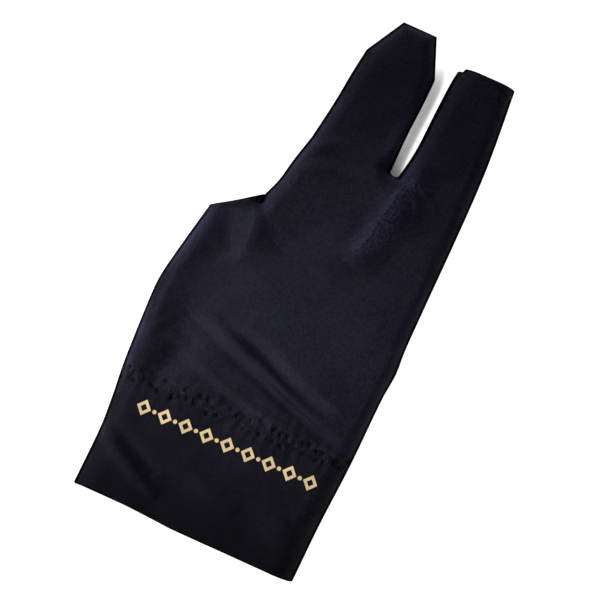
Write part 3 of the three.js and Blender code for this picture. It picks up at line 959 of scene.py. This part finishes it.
def add_node(tree, kind, **settings):
    """A node with its settings, laid out in rows in the order in which the script makes them."""
    row, column = divmod(len(tree.nodes), nodes_a_row)
    node = tree.nodes.new(kind)
    node.location = (column * node_spacing[0], row * node_spacing[1])
    for key, value in settings.items():
        setattr(node, key, value)
    return node


def feed(tree, socket, value):
    """Set a socket to a number or a colour, or link another socket to it."""
    if isinstance(value, (int, float)):
        socket.default_value = value
    elif isinstance(value, tuple):
        socket.default_value = (*value, 1.0)
    else:
        tree.links.new(value, socket)


def feed_all(tree, node, values):
    for label, value in values.items():
        feed(tree, node.inputs[label], value)


def calculate(tree, operation, *values):
    """A math node fed with numbers or sockets."""
    node = add_node(tree, "ShaderNodeMath", operation=operation)
    for socket, value in zip(node.inputs, values):
        feed(tree, socket, value)
    return node.outputs[0]


def ease(tree, value, low, high, to_low=0.0, to_high=1.0):
    """A smooth step from one value to another."""
    node = add_node(tree, "ShaderNodeMapRange", interpolation_type="SMOOTHSTEP")
    limits = {"From Min": low, "From Max": high, "To Min": to_low, "To Max": to_high}
    feed_all(tree, node, {"Value": value} | limits)
    return node.outputs["Result"]


print("nodes are laid out in rows of", nodes_a_row)

# %% [markdown]
# ## Thread
# The cuff is sewn down with a zigzag stitch that can stretch, and the turned edges with two rows of short
# stitches. Each stitch is a small arch of thread, so Geometry Nodes set one on every point of a resampled
# path and turn every other one the opposite way. The sizes are inputs of the tree, and the result is a
# plain mesh.

# %% A node tree for rows of stitches
foot_depth = -1.2  # the ends of a stitch lie this many thread radii in the knit
arch_steps = 6
thread_sides = 6


def stitch_tree():
    tree = bpy.data.node_groups.new("Stitches", "GeometryNodeTree")
    face = tree.interface
    face.new_socket("Geometry", in_out="INPUT", socket_type="NodeSocketGeometry")
    for name in ("Spacing", "Stitch Length", "Thread Radius", "Arch Height", "Turn", "Unevenness"):
        face.new_socket(name, in_out="INPUT", socket_type="NodeSocketFloat")
    face.new_socket("Seed", in_out="INPUT", socket_type="NodeSocketInt")
    face.new_socket("Material", in_out="INPUT", socket_type="NodeSocketMaterial")
    face.new_socket("Geometry", in_out="OUTPUT", socket_type="NodeSocketGeometry")
    given = add_node(tree, "NodeGroupInput").outputs
    result = add_node(tree, "NodeGroupOutput")

    curve = add_node(tree, "GeometryNodeMeshToCurve")
    feed(tree, curve.inputs["Mesh"], given["Geometry"])
    even = add_node(tree, "GeometryNodeResampleCurve", mode="LENGTH")
    feed_all(tree, even, {"Curve": curve.outputs["Curve"], "Length": given["Spacing"]})

    start, top, end = (add_node(tree, "ShaderNodeCombineXYZ") for _ in range(3))
    feed(tree, top.inputs["Z"], given["Arch Height"])
    for foot, share in ((start, -0.5), (end, 0.5)):
        feed(tree, foot.inputs["X"], calculate(tree, "MULTIPLY", given["Stitch Length"], share))
        feed(tree, foot.inputs["Z"], calculate(tree, "MULTIPLY", given["Thread Radius"], foot_depth))
    arch = add_node(tree, "GeometryNodeCurveQuadraticBezier")
    arch.inputs["Resolution"].default_value = arch_steps
    for name, node in (("Start", start), ("Middle", top), ("End", end)):
        feed(tree, arch.inputs[name], node.outputs["Vector"])
    round_section = add_node(tree, "GeometryNodeCurvePrimitiveCircle")
    round_section.inputs["Resolution"].default_value = thread_sides
    feed(tree, round_section.inputs["Radius"], given["Thread Radius"])
    thread = add_node(tree, "GeometryNodeCurveToMesh")
    thread.inputs["Fill Caps"].default_value = True
    feed(tree, thread.inputs["Curve"], arch.outputs["Curve"])
    feed(tree, thread.inputs["Profile Curve"], round_section.outputs["Curve"])

    normal = add_node(tree, "GeometryNodeInputNamedAttribute", data_type="FLOAT_VECTOR")
    normal.inputs["Name"].default_value = "cloth_normal"
    tangent = add_node(tree, "GeometryNodeInputTangent")
    facing = add_node(tree, "FunctionNodeAxesToRotation", primary_axis="Z", secondary_axis="X")
    feed(tree, facing.inputs["Primary Axis"], normal.outputs["Attribute"])
    feed(tree, facing.inputs["Secondary Axis"], tangent.outputs["Tangent"])
    index = add_node(tree, "GeometryNodeInputIndex")
    every_other = calculate(tree, "MODULO", index.outputs["Index"], 2)
    turn_way = calculate(tree, "MULTIPLY_ADD", every_other, 2, -1)
    any_turn = add_node(tree, "FunctionNodeRandomValue", data_type="FLOAT")
    any_turn.inputs[2].default_value = -1
    any_turn.inputs[3].default_value = 1
    feed(tree, any_turn.inputs["Seed"], given["Seed"])
    uneven = calculate(tree, "MULTIPLY", any_turn.outputs[1], given["Unevenness"])
    spin = add_node(tree, "ShaderNodeCombineXYZ")
    feed(tree, spin.inputs["Z"], calculate(tree, "MULTIPLY_ADD", turn_way, given["Turn"], uneven))
    turned = add_node(tree, "FunctionNodeRotateRotation", rotation_space="LOCAL")
    feed_all(tree, turned, {"Rotation": facing.outputs["Rotation"], "Rotate By": spin.outputs["Vector"]})

    laid = add_node(tree, "GeometryNodeInstanceOnPoints")
    feed_all(tree, laid, {
        "Points": even.outputs["Curve"],
        "Instance": thread.outputs["Mesh"],
        "Rotation": turned.outputs["Rotation"],
    })
    real = add_node(tree, "GeometryNodeRealizeInstances")
    feed(tree, real.inputs["Geometry"], laid.outputs["Instances"])
    smooth = add_node(tree, "GeometryNodeSetShadeSmooth")
    feed(tree, smooth.inputs["Geometry"], real.outputs["Geometry"])
    painted = add_node(tree, "GeometryNodeSetMaterial")
    feed_all(tree, painted, {"Geometry": smooth.outputs["Geometry"], "Material": given["Material"]})
    feed(tree, result.inputs["Geometry"], painted.outputs["Geometry"])
    return tree


stitches = stitch_tree()


def sew(name, paths, material, **sizes):
    """Rows of stitches along paths of (place, normal) points, as one plain mesh."""
    points, normals, edges = [], [], []
    for path in paths:
        first = len(points)
        points += [Vector(place) for place, _ in path]
        normals += [component for _, normal in path for component in normal]
        edges += [(k, k + 1) for k in range(first, len(points) - 1)]
    mesh = bpy.data.meshes.new(name + "_path")
    mesh.from_pydata(points, edges, [])
    mesh.attributes.new("cloth_normal", "FLOAT_VECTOR", "POINT").data.foreach_set("vector", normals)
    path_object = bpy.data.objects.new(name + "_path", mesh)
    bpy.context.scene.collection.objects.link(path_object)
    modifier = path_object.modifiers.new("Stitches", "NODES")
    modifier.node_group = stitches
    values = {"Seed": 3, "Material": material} | sizes
    for item in stitches.interface.items_tree:
        if item.item_type == "SOCKET" and item.in_out == "INPUT" and item.name in values:
            modifier[item.identifier] = values[item.name]
    seen = path_object.evaluated_get(bpy.context.evaluated_depsgraph_get())
    sewn = bpy.data.meshes.new_from_object(seen)
    bpy.data.objects.remove(path_object)
    for attribute in [a.name for a in sewn.attributes if a.name == "cloth_normal"]:
        sewn.attributes.remove(sewn.attributes[attribute])
    return show_piece(name, sewn)


# %% [markdown]
# ## Where the thread runs
# A path on the cloth is a row of pattern points. Its height and the way the cloth faces there come from
# the same height rules as the cloth, so a stitch sits on the surface and leans with it.

# %% Paths on the cloth
slope_reach = 0.3 * MM  # the slope is measured between two points this far to either side


def on_cloth(x, y, side, above=0.0):
    """Places and normals on one side of the cloth, above it by a distance."""
    x, y = np.broadcast_arrays(np.asarray(x, float), np.asarray(y, float))
    height = getattr(outer_face, side)
    off_seam = np.zeros(x.shape, bool)
    reach = slope_reach
    z = height(x, y, off_seam)
    slope_x = (height(x + reach, y, off_seam) - height(x - reach, y, off_seam)) / (2 * reach)
    slope_y = (height(x, y + reach, off_seam) - height(x, y - reach, off_seam)) / (2 * reach)
    normal = np.stack([-slope_x, -slope_y, np.ones(x.shape)], axis=-1)
    normal /= np.linalg.norm(normal, axis=-1, keepdims=True)
    if side == "palm":
        normal = -normal
    return np.stack([x, y, z], axis=-1) + above * normal + pattern_place, normal


def path_on(x, y, side, above):
    """A row of pattern points as the (place, normal) points that sew() takes."""
    places, normals = on_cloth(x, y, side, above)
    return list(zip(places.tolist(), normals.tolist()))


# %% [markdown]
# ## Loops, wear and painted light
# Under a lens the knit is rows of small slanting loops with dark gaps between them. A photo of cloth
# could be wrapped round the glove, but two shader groups work the loops, the wear and the masks for
# painted shade and highlight out from the cloth's own map, and every cloth material uses them, so the
# weave runs on from one piece to the next.

# %% Shader groups
def shader_group(name, inputs, outputs):
    tree = bpy.data.node_groups.new(name, "ShaderNodeTree")
    for label, kind, value in inputs:
        socket = tree.interface.new_socket(label, in_out="INPUT", socket_type="NodeSocket" + kind)
        if value is not None:
            socket.default_value = value
    for label in outputs:
        tree.interface.new_socket(label, in_out="OUTPUT", socket_type="NodeSocketFloat")
    return tree, add_node(tree, "NodeGroupInput").outputs, add_node(tree, "NodeGroupOutput")


def noise(tree, vector, scale, detail=3.0, roughness=0.55):
    node = add_node(tree, "ShaderNodeTexNoise")
    feed_all(tree, node, {"Scale": scale, "Detail": detail, "Roughness": roughness, "Vector": vector})
    return node.outputs["Fac"]


def knit_group():
    """Loops of a fine knit from the cloth's own map, which is in millimetres."""
    inputs = [
        ("Vector", "Vector", None),
        ("Wale Width", "Float", 0.62),
        ("Course Height", "Float", 0.5),
        ("Slant", "Float", 0.55),
        ("Wander", "Float", 0.12),
    ]
    tree, given, result = shader_group("Knit Loops", inputs, ["Height", "Gap"])
    centred = calculate(tree, "SUBTRACT", noise(tree, given["Vector"], 0.8), 0.5)
    drift = calculate(tree, "MULTIPLY", centred, given["Wander"])
    apart = add_node(tree, "ShaderNodeSeparateXYZ")
    feed(tree, apart.inputs["Vector"], given["Vector"])
    across = calculate(tree, "ADD", apart.outputs["X"], drift)
    in_wale = calculate(tree, "FRACT", calculate(tree, "DIVIDE", across, given["Wale Width"]))
    from_centre = calculate(tree, "ABSOLUTE", calculate(tree, "SUBTRACT", in_wale, 0.5))
    along = calculate(tree, "ADD", apart.outputs["Y"], drift)
    courses = calculate(tree, "DIVIDE", along, given["Course Height"])
    slanted = calculate(tree, "MULTIPLY_ADD", from_centre, given["Slant"], courses)
    wave = calculate(tree, "SINE", calculate(tree, "MULTIPLY", slanted, 2 * math.pi))
    leg = calculate(tree, "MULTIPLY_ADD", wave, 0.5, 0.5)
    rope = calculate(tree, "SINE", calculate(tree, "MULTIPLY", from_centre, 2 * math.pi))
    ridge = calculate(tree, "MULTIPLY_ADD", rope, 0.6, 0.4)
    height = calculate(tree, "MULTIPLY", leg, ridge)
    gap = ease(tree, height, low=0.05, high=0.35, to_low=1.0, to_high=0.0)
    feed_all(tree, result, {"Height": height, "Gap": gap})
    return tree


def wear_and_light_group():
    """Masks for the cloth: painted shade on its rims, soft clouds, grain, and a painted highlight in rubbed
    patches near its edges.
    """
    inputs = [("Position", "Vector", None), ("From Edge", "Float", 5.0), ("Rim Width", "Float", 1.1)]
    tree, given, result = shader_group("Cloth Wear And Light", inputs, ["Rim Shade", "Cloud", "Grain", "Rubbed Highlight"])
    place = given["Position"]
    share = calculate(tree, "DIVIDE", given["From Edge"], given["Rim Width"])
    patch = ease(tree, noise(tree, place, scale=60, detail=5.0, roughness=0.7), low=0.3, high=0.6)
    near = ease(tree, given["From Edge"], low=1.5, high=4.5, to_low=1.0, to_high=0.0)
    # the rims take painted shade and patches near the edges a painted highlight; the clouds and the grain
    # are the cloth's own tone
    masks = {
        "Rim Shade": ease(tree, share, low=0.5, high=1.0, to_low=1.0, to_high=0.0),
        "Cloud": ease(tree, noise(tree, place, scale=26, detail=4.0), low=0.3, high=0.7),
        "Grain": ease(tree, noise(tree, place, scale=900, detail=3.0, roughness=0.7), low=0.37, high=0.63),
        "Rubbed Highlight": calculate(tree, "MULTIPLY", patch, near),
    }
    feed_all(tree, result, masks)
    return tree


knit_loops = knit_group()
cloth_wear_and_light = wear_and_light_group()
print("shader groups", knit_loops.name, "and", cloth_wear_and_light.name)

# %% [markdown]
# ## Cloth, thread and print
# The yarn is black with a violet cast. A painted highlight makes it lighter on the crests of the higher
# folds and in patches near the edges, where the cloth is also a little rubbed. It sinks to black in its
# gaps, and painted shade darkens its rims, the dimples of the stitching and the cuff near the wrist hem.
# So a cloth material starts with its yarn and lays these shades over it one by one, each through a mask
# of its own.

# %% Materials
loop_sizes = {"Wale Width": 0.62, "Course Height": 0.5, "Slant": 0.55, "Wander": 0.12}
rim_shade_width = 1.7  # in millimetres, as are the distances that the masks below read
painted_highlight_factor = 2.5  # how much lighter the painted highlight on fold crests and rubbed patches is than the clouds
# how much of the grain, of the painted highlight near the edges and of the painted rim shade is laid on
grain_share, rubbed_highlight_share, rim_shade_share = 0.8, 0.5, 0.94
grain_relief = 0.4
sheen = 0.03
# the dark of the gaps between the loops, used as well for the painted shade
gap_and_shade_color = (0.0005, 0.0005, 0.0009)


def use_group(tree, group, values):
    """A shader group placed in a tree and fed, as its outputs."""
    node = add_node(tree, "ShaderNodeGroup")
    node.node_tree = group
    feed_all(tree, node, values)
    return node.outputs


def blend_colors(tree, factor, a, b):
    """A colour between two, each a colour or a socket."""
    node = add_node(tree, "ShaderNodeMix", data_type="RGBA", blend_type="MIX")
    colors = [socket for socket in node.inputs if socket.type == "RGBA"]
    for socket, value in zip([node.inputs[0], *colors], (factor, a, b)):
        feed(tree, socket, value)
    return next(socket for socket in node.outputs if socket.type == "RGBA")


def relief(tree, height, strength, distance):
    node = add_node(tree, "ShaderNodeBump")
    feed_all(tree, node, {"Strength": strength, "Distance": distance, "Height": height})
    return node.outputs["Normal"]


def new_material(name):
    material = bpy.data.materials.new(name)
    material.use_nodes = True
    return material, material.node_tree, material.node_tree.nodes["Principled BSDF"]


def cloth_material(name, yarn, lit, painted_hem_shade):
    """Knitted cloth: its yarn, the lighter colour of its clouds, and how much shade is painted near the
    wrist hem.
    """
    material, tree, surface = new_material(name)
    place = add_node(tree, "ShaderNodeTexCoord").outputs["Object"]
    cloth_map = add_node(tree, "ShaderNodeUVMap", uv_map="cloth").outputs["UV"]
    edge, drawn_in, highlight_lift = (
        add_node(tree, "ShaderNodeAttribute", attribute_name=label).outputs["Fac"]
        for label in ("from_edge", "drawn_in", "highlight_lift")
    )
    loops = use_group(tree, knit_loops, {"Vector": cloth_map} | loop_sizes)
    wear_and_light = use_group(tree, cloth_wear_and_light, {"Position": place, "From Edge": edge, "Rim Width": rim_shade_width})
    painted_highlight = tuple(painted_highlight_factor * value for value in lit)
    shades = [
        # painted highlight on the crests of the higher folds
        (ease(tree, highlight_lift, low=0.8, high=2.3, to_high=0.9), painted_highlight),
        (loops["Gap"], gap_and_shade_color),
        (calculate(tree, "MULTIPLY", wear_and_light["Grain"], grain_share), gap_and_shade_color),
        # painted highlight in patches near the edges, where the cloth is also a little rubbed
        (calculate(tree, "MULTIPLY", wear_and_light["Rubbed Highlight"], rubbed_highlight_share), painted_highlight),
        # painted shade along the rims, where the cloth rolls under
        (calculate(tree, "MULTIPLY", wear_and_light["Rim Shade"], rim_shade_share), gap_and_shade_color),
        # painted shade in the dimples of the stitching
        (ease(tree, drawn_in, low=0.05, high=0.4, to_high=0.92), gap_and_shade_color),
    ]
    # painted shade on the cuff, darker towards the wrist hem
    if painted_hem_shade:
        apart = add_node(tree, "ShaderNodeSeparateXYZ")
        feed(tree, apart.inputs["Vector"], cloth_map)
        near_hem = ease(tree, apart.outputs["Y"], low=5.0, high=26.0, to_low=painted_hem_shade, to_high=0.0)
        shades.insert(-1, (near_hem, gap_and_shade_color))
    color = blend_colors(tree, wear_and_light["Cloud"], yarn, lit)
    for mask, shade in shades:
        color = blend_colors(tree, mask, color, shade)
    height = calculate(tree, "MULTIPLY_ADD", wear_and_light["Grain"], grain_relief, loops["Height"])
    inside = calculate(tree, "SUBTRACT", 1, wear_and_light["Rim Shade"])
    gloss = ease(tree, edge, low=1.2, high=5.0, to_low=0.025, to_high=0.1)
    feed_all(tree, surface, {
        "Base Color": color,
        "Roughness": ease(tree, wear_and_light["Rubbed Highlight"], low=0.0, high=1.0, to_low=0.4, to_high=0.34),
        "Normal": relief(tree, height, strength=0.6, distance=0.2 * MM),
        "Specular IOR Level": calculate(tree, "MULTIPLY", gloss, inside),
        "Specular Tint": (0.75, 0.75, 1.0),
        "Sheen Weight": calculate(tree, "MULTIPLY", inside, sheen),
        "Sheen Roughness": 0.45,
        "Sheen Tint": (0.55, 0.52, 0.75),
    })
    return material


def thread_material():
    material, tree, surface = new_material("thread")
    place = add_node(tree, "ShaderNodeTexCoord").outputs["Object"]
    fibres = noise(tree, place, scale=2600, detail=2.0)
    feed_all(tree, surface, {
        "Base Color": blend_colors(tree, fibres, (0.0006, 0.0006, 0.0011), (0.0040, 0.0040, 0.0064)),
        "Roughness": 0.33,
        "Specular IOR Level": 0.17,
    })
    return material


def print_material():
    """Gold ink that lets the knit show through and has cracked a little where the cloth stretched."""
    material, tree, surface = new_material("gold_print")
    place = add_node(tree, "ShaderNodeTexCoord").outputs["Object"]
    cracks = ease(tree, noise(tree, place, scale=900, detail=4.0, roughness=0.75), low=0.62, high=0.7)
    shade = noise(tree, place, scale=180)
    color = blend_colors(tree, shade, (0.44, 0.31, 0.15), (0.63, 0.49, 0.27))
    color = blend_colors(tree, calculate(tree, "MULTIPLY", cracks, 0.6), color, (0.06, 0.04, 0.02))
    bumps = noise(tree, place, scale=1500, detail=2.0)
    feed_all(tree, surface, {
        "Base Color": color,
        "Roughness": 0.5,
        "Specular IOR Level": 0.4,
        "Normal": relief(tree, bumps, strength=0.5, distance=0.1 * MM),
    })
    return material


# The cuff's yarn is darker than the palm's, a painted shade for the lower light on the cuff.
knits = [
    {"name": "palm_knit", "yarn": (0.0073, 0.007, 0.0153), "lit": (0.0096, 0.0092, 0.02),
     "painted_hem_shade": 0},
    {"name": "cuff_knit", "yarn": (0.0057, 0.0054, 0.0105), "lit": (0.0076, 0.0072, 0.014),
     "painted_hem_shade": 0.55},
    {"name": "hem_knit", "yarn": (0.0068, 0.0065, 0.0132), "lit": (0.0088, 0.0084, 0.0172),
     "painted_hem_shade": 0},
]
palm_knit, cuff_knit, hem_knit = (cloth_material(**knit_colors) for knit_colors in knits)
black_thread = thread_material()
gold_print = print_material()

glove_cloth.data.materials.append(palm_knit)
cuff_cloth.data.materials.append(cuff_knit)
thumb_hem_cloth.data.materials.append(hem_knit)
short_hem_cloth.data.materials.append(hem_knit)
print("materials", [material.name for material in bpy.data.materials])

# %% [markdown]
# ## Sewing the glove
# The zigzag runs once round the cuff, on the back and on the palm side. The turned hems hold two rows of
# short stitches each. The thread lies a hair above the cloth, with its ends down in the knit.

# %% Lay the thread
from_seam = 0.9 * MM  # a row of stitches stops this short of a closed edge
zigzag_above = 0.05 * MM
hem_above = {"back": 0.04 * MM, "palm": -0.12 * MM}
hem_insets = (1.6 * MM, 2.6 * MM)
zigzag_points, hem_points = 160, 60
zigzag_sizes = {
    "Spacing": zigzag_pitch / 2,
    "Stitch Length": math.hypot(zigzag_width, zigzag_pitch / 2),
    "Thread Radius": 0.12 * MM,
    "Arch Height": 0.4 * MM,
    "Turn": math.atan2(zigzag_width, zigzag_pitch / 2),
    "Unevenness": 0.12,
}
hem_sizes = {
    "Spacing": 1.25 * MM,
    "Stitch Length": 1.0 * MM,
    "Thread Radius": 0.09 * MM,
    "Arch Height": 0.2 * MM,
    "Turn": 0.08,
    "Unevenness": 0.1,
}


def row_across(left_edge, y, count):
    """Even points across the glove at one height, from one closed edge to the folded one."""
    left = float(left_edge(np.array(y))) + from_seam
    return np.linspace(left, float(outer_face.fold_edge(np.array(y))) - from_seam, count)


across_cuff = row_across(outer_face.side_seam, cuff_depth, zigzag_points)
zigzag_paths = [path_on(across_cuff, cuff_depth, side, zigzag_above) for side in ("back", "palm")]
zigzag_thread = sew("zigzag_thread", zigzag_paths, black_thread, **zigzag_sizes)

hem_paths = []
for inset in hem_insets:
    y = short_top - inset
    across_hem = row_across(outer_face.short_side, y, hem_points)
    hem_paths += [path_on(across_hem, y, side, above) for side, above in hem_above.items()]
    row = thumb_strip(outer_face, np.array([thumb_height - inset]), sewing_gap, right=True)
    inner = (row.x[0] > row.x[0, 0] + from_seam) & (row.x[0] < row.x[0, -1] - from_seam)
    x_inner, y_inner = row.x[0][inner], row.y[0][inner]
    hem_paths += [path_on(x_inner, y_inner, side, above) for side, above in hem_above.items()]
hem_thread = sew("hem_thread", hem_paths, black_thread, **hem_sizes)

# %% [markdown]
# ## The gold band
# The real cuff has gold printing on its back. This one carries a plain row of open lozenges and dots in
# the same gold, as thin films of ink that follow the cloth.

# %% Print a row of plain figures
print_height = 39.3 * MM  # middle of the row above the hem
print_from, print_to = -84.5 * MM, -7 * MM
lozenge_count = 9
lozenge_half = (3.0 * MM, 3.3 * MM)
print_stroke = 1.15 * MM
dot_radius = 0.85 * MM
dot_hole = 0.02  # a dot is a ring that has almost closed
ink_thickness = 0.07 * MM
film_steps = 4
steps_a_side = 7
dot_steps = 16


def ink_points(line, above):
    places, normals = on_cloth(line[:, 0], line[:, 1], "back")
    return places + above * normals


def ring_film(outer, inner):
    """A closed ring of ink between two outlines of the same number of points."""
    across = [mix(outer, inner, share) for share in np.linspace(0, 1, film_steps)]
    top = [ink_points(line, ink_thickness) for line in across]
    bottom = [ink_points(line, -ink_thickness / 2) for line in across[::-1]]
    rows = np.stack(top + bottom + top[:1])
    return np.concatenate([rows, rows[:, :1]], axis=1)


def lozenge_outline(x, half_width, half_height):
    corners = [(half_width, 0), (0, half_height), (-half_width, 0), (0, -half_height)]
    points = []
    for (ax, ay), (bx, by) in zip(corners, corners[1:] + corners[:1]):
        for share in np.linspace(0, 1, steps_a_side, endpoint=False):
            points.append((x + mix(ax, bx, share), print_height + mix(ay, by, share)))
    return np.array(points)


def circle_outline(x, radius):
    turns = np.linspace(0, 2 * math.pi, dot_steps, endpoint=False)
    return np.stack([x + radius * np.cos(turns), print_height + radius * np.sin(turns)], axis=1)


centres = np.linspace(print_from + lozenge_half[0], print_to - lozenge_half[0], lozenge_count)
lozenge_angle = math.atan2(lozenge_half[1], lozenge_half[0])
hole_half = (
    lozenge_half[0] - print_stroke / math.sin(lozenge_angle),
    lozenge_half[1] - print_stroke / math.cos(lozenge_angle),
)
rings = [ring_film(lozenge_outline(x, *lozenge_half), lozenge_outline(x, *hole_half)) for x in centres]
for x in (centres[1:] + centres[:-1]) / 2:
    rings.append(ring_film(circle_outline(x, dot_radius), circle_outline(x, dot_radius * dot_hole)))

vertices, quads = [], []
for grid in rings:
    quads += grid_quads(*grid.shape[:2], len(vertices)).tolist()
    vertices += grid.reshape(-1, 3).tolist()
mesh = bpy.data.meshes.new("cuff_print")
mesh.from_pydata(vertices, [], quads)
shape = bmesh.new()
shape.from_mesh(mesh)
bmesh.ops.remove_doubles(shape, verts=shape.verts, dist=weld_distance)
bmesh.ops.recalc_face_normals(shape, faces=shape.faces)
shape.to_mesh(mesh)
shape.free()
mesh.materials.append(gold_print)
cuff_print = show_piece("cuff_print", mesh)

# %% [markdown]
# ## The floor
# The photo was taken on a floor so bright that it turned pure white, with one soft shade, between the two
# stalls. A lamp's shadow would drown in that much light. So the floor glows, and its material finds where
# cloth stands close on both sides, and nearer on the long stall's side, and turns its glow down there.

# %% A bright floor with a shaded slit
floor_half = 3.0
floor_glow, shaded_glow = 1.02, 0.09
look_up = 0.3  # how much a look along the floor, towards the cloth beside it, is tilted up
looks = [
    {"toward": -1, "reach": 9 * MM},
    {"toward": 1, "reach": 9 * MM},
    {"toward": -1, "reach": 5 * MM},
]
floor_mesh = bpy.data.meshes.new("floor")
corners = [(-1, -1), (1, -1), (1, 1), (-1, 1)]
floor_points = [(x * floor_half, y * floor_half, model_low.z) for x, y in corners]
floor_mesh.from_pydata(floor_points, [], [(0, 1, 2, 3)])
material, tree, surface = new_material("pale_floor")
hidden = []
for look in looks:
    facing = add_node(tree, "ShaderNodeCombineXYZ")
    feed_all(tree, facing, {"X": look["toward"], "Z": look_up})
    nearby = add_node(tree, "ShaderNodeAmbientOcclusion", samples=8)
    feed_all(tree, nearby, {"Distance": look["reach"], "Normal": facing.outputs["Vector"]})
    hidden.append(calculate(tree, "SUBTRACT", 1, nearby.outputs["AO"]))
left_side, right_side, close_left = hidden
# a painted shadow: the floor's glow turns down and its colour darkens where cloth stands close on both
# sides
between = ease(tree, calculate(tree, "MULTIPLY", left_side, right_side), low=0.05, high=0.16)
shaded = calculate(tree, "MULTIPLY", between, ease(tree, close_left, low=0.02, high=0.25))
feed_all(tree, surface, {
    "Base Color": blend_colors(tree, shaded, (0.25, 0.25, 0.26), (0.60, 0.58, 0.66)),
    "Roughness": 0.95,
    "Specular IOR Level": 0.0,
    "Emission Color": (1.0, 1.0, 1.0),
    "Emission Strength": ease(tree, shaded, low=0.0, high=1.0, to_low=floor_glow, to_high=shaded_glow),
})
floor_mesh.materials.append(material)
floor = show_piece("floor", floor_mesh)

# %% [markdown]
# ## Light and camera
# A dome of even light, brighter on the left, fills every fold. A soft lamp from the left rounds the
# rolled edges, and a narrow one brightens the palm. The camera looks straight down, from so far that the
# glove's sides hardly show.

# %% The dome, the lamps and the camera
dome_dim, dome_bright = 0.14, 0.8
view_centre = Vector((3.91 * MM, -7.09 * MM, 0))
view_roll = math.radians(24.43)
view_height = 662 * MM

world = bpy.data.worlds.new("dome")
bpy.context.scene.world = world
world.use_nodes = True
sky = world.node_tree
toward_left = add_node(sky, "ShaderNodeVectorMath", operation="DOT_PRODUCT")
feed(sky, toward_left.inputs[0], add_node(sky, "ShaderNodeTexCoord").outputs["Generated"])
toward_left.inputs[1].default_value = (-1, 0, 0)
leftward = toward_left.outputs["Value"]
brightness = ease(sky, leftward, low=-0.1, high=0.9, to_low=dome_dim, to_high=dome_bright)
feed_all(sky, sky.nodes["Background"], {"Color": (1.0, 1.0, 1.0), "Strength": brightness})


def aimed(name, data, place, target):
    lamp = bpy.data.objects.new(name, data)
    lamp.location = place
    lamp.rotation_euler = (Vector(target) - Vector(place)).to_track_quat("-Z", "Y").to_euler()
    bpy.context.scene.collection.objects.link(lamp)


key = bpy.data.lights.new("key", "AREA")
key.shape = "DISK"
key.size = 0.3
key.energy = 5.6
aimed("key", key, (-0.745, -0.06, 0.665), (0, 0, 0))

glow = bpy.data.lights.new("glow", "SPOT")
glow.energy = 96
glow.spot_size = math.radians(9.0)
glow.spot_blend = 1
glow.shadow_soft_size = 0.06
aimed("glow", glow, (-0.63, -0.04, 0.636), (0.003, -0.018, 0))

camera_data = bpy.data.cameras.new("camera")
camera_data.lens = 100
camera_data.sensor_width = 36
camera = bpy.data.objects.new("camera", camera_data)
camera.location = view_centre + Vector((0, 0, view_height))
camera.rotation_euler = (0, 0, view_roll)
bpy.context.scene.collection.objects.link(camera)
bpy.context.scene.camera = camera
bpy.context.scene.view_settings.view_transform = "Standard"
print("camera", round(view_height, 3), "above the floor, lamps", [lamp.name for lamp in bpy.data.lights])

# %% [markdown]
# ## The pieces on their body
# Every piece rides on the one body that the imported model has. Each piece of cloth stands for its own
# solid, and the thread and the print are extra.

declared = [
    {"piece": glove_cloth, "node": "glove_shell", "slot": "knit"},
    {"piece": cuff_cloth, "node": "cuff_band", "slot": "cuff_knit"},
    {"piece": thumb_hem_cloth, "node": "thumb_opening_hem", "slot": "hem_knit"},
    {"piece": short_hem_cloth, "node": "short_stall_hem", "slot": "hem_knit"},
    {"piece": zigzag_thread, "node": None, "slot": "cuff_knit"},
    {"piece": hem_thread, "node": None, "slot": "hem_knit"},
    {"piece": cuff_print, "node": None, "slot": "cuff_knit"},
]
for entry in declared:
    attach(entry["piece"], "root")
    if entry["node"]:
        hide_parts(entry["node"])
